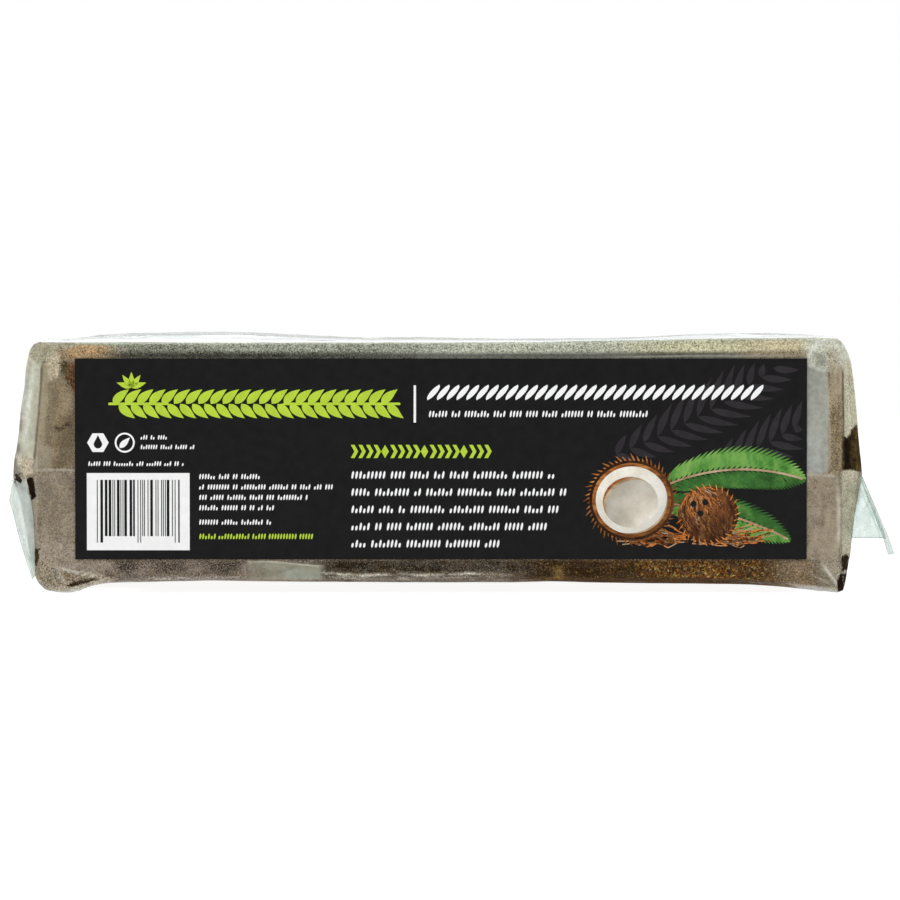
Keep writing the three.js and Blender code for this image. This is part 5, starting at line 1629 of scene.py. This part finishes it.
# upper left: a lime garland of palm leaflets on a stem, with a small fan over it
z0 = 47.3
bar(-83.4, z0 - 0.32, -10.4, z0 + 0.32, "lime", 1, 0.3)
x = -82.2
while x < -13.5:
    leaf(x, z0, 5.4, 2.35, 52, "lime", 1, -0.35)
    leaf(x + 1.5, z0, 5.4, 2.35, -52, "lime", 1, 0.35)
    x += 3.05
for a in (18, 54, 90, 126, 162):
    leaf(-77.6, 51.6 - 0.2, 3.9, 1.5, a, "lime", 2)
# divider
bar(-7.1, 42.6, -6.5, 51.9, "white", 1)
# upper middle: a white twisted rope, and a fine broken line under it
x = -3.4
while x < 77.5:
    o = []
    for t in np.linspace(0, 1, 9):
        o.append((x + 3.0 * t - 0.25 + 0.9 * math.sin(math.pi * t) * 0.0, 48.2 + 3.9 * t))
    w = 1.75
    body = [(px + (-w / 2) * math.sin(math.pi * min(max((pz - 48.2) / 3.9, 0), 1)) ** 0.6, pz) for px, pz in o]
    back = [(px + (w / 2) * math.sin(math.pi * min(max((pz - 48.2) / 3.9, 0), 1)) ** 0.6, pz) for px, pz in o][::-1]
    shape(body + back[1:-1], "white", 1)
    x += 2.45
grains(-3.4, 53.0, 43.9, 1.75, "white", 1, 5, 0.80, 0.50)
# left: a drop on a six-sided patch, a leaf in a thin ring, and short lines
disc(-86.0, 37.6, 2.7, "white", 1, 1.0, 6)
drop = [(-86.0 + 1.05 * math.sin(t), 37.2 - 1.05 * math.cos(t)) for t in np.linspace(-2.2, 2.2, 21)]
shape(drop + [(-86.0, 39.5)], "black", 2)
ring(-79.3, 37.6, 2.05, 2.5, "white", 1)
leaf(-80.6, 36.3, 3.7, 1.6, 45, "white", 3)
grains(-75.4, -68.4, 38.3, 1.25, "white", 1, 6, 0.62, 0.40, 0.2, 0.6)
grains(-75.4, -61.0, 35.9, 1.25, "white", 1, 7, 0.62, 0.40, 0.2, 0.6)
grains(-88.5, -64.4, 31.7, 1.3, "white", 1, 8, 0.64, 0.42, 0.2, 0.6)
# lower left: a white panel with plain upright bars of three widths
bar(-88.8, 10.7, -63.1, 30.0, "white", 1)
r = random.Random(21)
x = -86.3
k = 0
while x < -65.9:
    w = r.choice((0.22, 0.22, 0.45, 0.66))
    foot = 12.6 if (k < 2 or x > -66.9 or abs(x + 76.0) < 0.55) else 14.2
    bar(x, foot, min(x + w, -65.6), 28.3, "black", 2)
    x += w + r.choice((0.22, 0.3, 0.45, 0.66))
    k += 1
for k, z in enumerate((28.4, 25.8, 23.2)):
    grains(-60.8, -60.8 + (15.4, 33.6, 27.6)[k], z, 1.45, "white", 1, 30 + k, 0.70, 0.45, 0.22, 0.7)
grains(-60.8, -42.0, 20.6, 1.45, "white", 1, 34, 0.70, 0.45, 0.22, 0.7)
grains(-60.8, -42.5, 17.0, 1.45, "white", 1, 36, 0.70, 0.45, 0.22, 0.7)
grains(-60.8, -31.8, 13.4, 1.5, "lime", 1, 37, 0.72, 0.48, 0.22, 0.5, 5, 12)
# middle: a lime band of chevrons and lozenges, and five rows of seeds
x = -22.8
k = 0
while x < 10.6:
    if k % 5 == 4:
        shape([(x + 0.95, 33.75), (x + 1.9, 35.4), (x + 0.95, 37.05), (x, 35.4)], "lime", 1)
        x += 2.25
    else:
        shape([(x, 33.75), (x + 0.95, 33.75), (x + 1.85, 35.4), (x + 0.9, 35.4)], "lime", 1)
        shape([(x + 0.9, 35.4), (x + 1.85, 35.4), (x + 0.95, 37.05), (x, 37.05)], "lime", 1)
        x += 1.9
    k += 1
for k, (z, w) in enumerate(((28.5, 51), (24.2, 54.5), (19.9, 52), (15.6, 49.5), (11.3, 38))):
    grains(-22.8, -22.8 + w, z, 2.05, "white", 1, 50 + k, 0.98, 0.60, 0.34, 1.0)

# right: coconuts, a frond and a tuft of coir
def frond(x, z, length, angle, curl, width, side_len, what, what2, level, pairs=20):
    """A palm frond: a curved stem with pointed leaflets on both sides."""
    a = math.radians(angle)
    px, pz = x, z
    stem = []
    steps = pairs
    for k in range(steps + 1):
        stem.append((px, pz, a))
        px += length / steps * math.cos(a)
        pz += length / steps * math.sin(a)
        a += curl / steps
    for k, (sx, sz, sa) in enumerate(stem[1:], 1):
        t = k / steps
        l_ = side_len * math.sin(math.pi * min(1, 0.18 + 0.8 * t)) ** 0.8
        leaf(sx, sz, l_, width, math.degrees(sa) + 44, what, level, -0.3)
        leaf(sx, sz, l_, width, math.degrees(sa) - 44, what2, level, 0.3)
    for (x0, z0_, a0), (x1, z1_, a1) in zip(stem[:-1], stem[1:]):
        w = 0.26
        shape([(x0 + w * math.sin(a0), z0_ - w * math.cos(a0)), (x1 + w * math.sin(a1), z1_ - w * math.cos(a1)),
               (x1 - w * math.sin(a1), z1_ + w * math.cos(a1)), (x0 - w * math.sin(a0), z0_ + w * math.cos(a0))], "tan", level + 1)


frond(55.0, 26.5, 36, 24, -0.75, 1.25, 9.6, "leaf", "leaf_dark", 3, 27)
frond(54.0, 22.5, 34, -4, -0.42, 1.2, 8.0, "leaf_dark", "leaf", 4, 25)
# tuft of loose fibre spreading along the foot
r = random.Random(77)
for k in range(150):
    sx, sz = r.uniform(52, 74), r.uniform(12.2, 15.0)
    a = r.gauss(0, 0.5) + (0 if sx > 62 else math.pi)
    l_ = r.uniform(4, 11)
    c = r.gauss(0, 0.05)
    pts_ = []
    px, pz = sx, sz
    foot = r.uniform(11.3, 13.2)
    for _ in range(7):
        pts_.append((px, pz, a))
        px += l_ / 6 * math.cos(a)
        pz += l_ / 6 * math.sin(a) * 0.55
        if pz < foot:
            pz, a = foot, abs(a) if math.cos(a) > 0 else math.pi - abs(math.pi - a)
        a += c + r.gauss(0, 0.12)
    w = r.uniform(0.08, 0.2)
    if min(p_[0] for p_ in pts_) < 36 or max(p_[0] for p_ in pts_) > 90.5:
        continue
    for (x0, z0_, a0), (x1, z1_, a1) in zip(pts_[:-1], pts_[1:]):
        shape([(x0, z0_ - w), (x1, z1_ - w), (x1, z1_ + w), (x0, z0_ + w)], r.choice(("amber", "amber", "tan", "husk")), 5)
# whole husked nut
disc(66.5, 19.6, 7.6, "husk_dark", 6, 0.93)
r = random.Random(90)
for k in range(230):
    # short fibres along the nut's own meridians, its axis leaning back to the left
    m_, v0 = r.uniform(-0.97, 0.97), r.uniform(-0.98, 0.72)
    v1 = min(0.98, v0 + r.uniform(0.16, 0.42))
    line_ = []
    for t in np.linspace(0, 1, 6):
        v_ = v0 + (v1 - v0) * t
        u_ = (m_ + 0.03 * math.sin(9 * t + k)) * math.sqrt(max(0, 1 - v_ * v_))
        line_.append((66.5 + 7.4 * (u_ * 0.9 - v_ * 0.44), 19.6 + 6.9 * (u_ * 0.44 + v_ * 0.9)))
    w = r.uniform(0.07, 0.16)
    ln = np.array(line_)
    dd = np.gradient(ln, axis=0)
    dd /= np.linalg.norm(dd, axis=1)[:, None]
    wide = (w * np.sin(math.pi * np.linspace(0.06, 0.94, 6)))[:, None]
    side_ = np.stack([-dd[:, 1], dd[:, 0]], 1) * wide
    bright = (ln.mean(0) - np.array((63.5, 23.0))) @ np.array((0.6, -0.8))
    what = r.choice(("husk_lit", "husk_lit", "amber", "tan")) if bright < r.uniform(-3, 7) else r.choice(("husk_lit", "husk_dark", "husk_lit"))
    shape((ln + side_).tolist() + (ln - side_)[::-1].tolist(), what, 7)
for dx, dz in ((-1.6, 1.9), (1.3, 2.3), (0.1, -0.5)):
    disc(66.5 + dx - 2.0, 19.6 + dz + 0.8, 0.78, "black", 8, 1.0, 20)
for k in range(26):
    t = math.radians(-170 + k * 12)
    leaf(66.5 + 6.6 * math.cos(t), 19.6 + 6.2 * math.sin(t), 2.0, 0.3, math.degrees(t) + 30, "amber", 7)
# halved nut, cut face to the viewer
for k in range(60):
    t = math.radians(6 * k)
    leaf(47.4 + 9.9 * math.cos(t), 23.2 + 9.4 * math.sin(t), 1.6 + 0.6 * (k % 3), 0.45, 6 * k + 35, "husk", 8)
disc(47.4, 23.2, 10.6, "husk_dark", 9, 0.94)
disc(47.4, 23.2, 9.9, "husk", 10, 0.94)
disc(47.4, 23.2, 9.0, "flesh", 11, 0.94)
disc(47.1, 22.7, 6.9, "hollow", 12, 0.92)
crescent(47.1, 22.7, 6.9, 1.5, "tan", 13, 55, 215, 0.92)
crescent(47.1, 22.7, 6.9, 0.7, "husk", 14, 80, 190, 0.92)
crescent(47.4, 23.2, 9.0, 0.5, "tan", 13, 250, 380, 0.94)

art = make("label_sheet", np.concatenate([lp, np.array(art_pts)]), lf + [tuple(M * 2 + i for i in f) for f in art_faces], label_mats,
           smooth_shade=False, face_mat=[0] * len(lf) + art_mat)
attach(art, "root")
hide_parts("label")
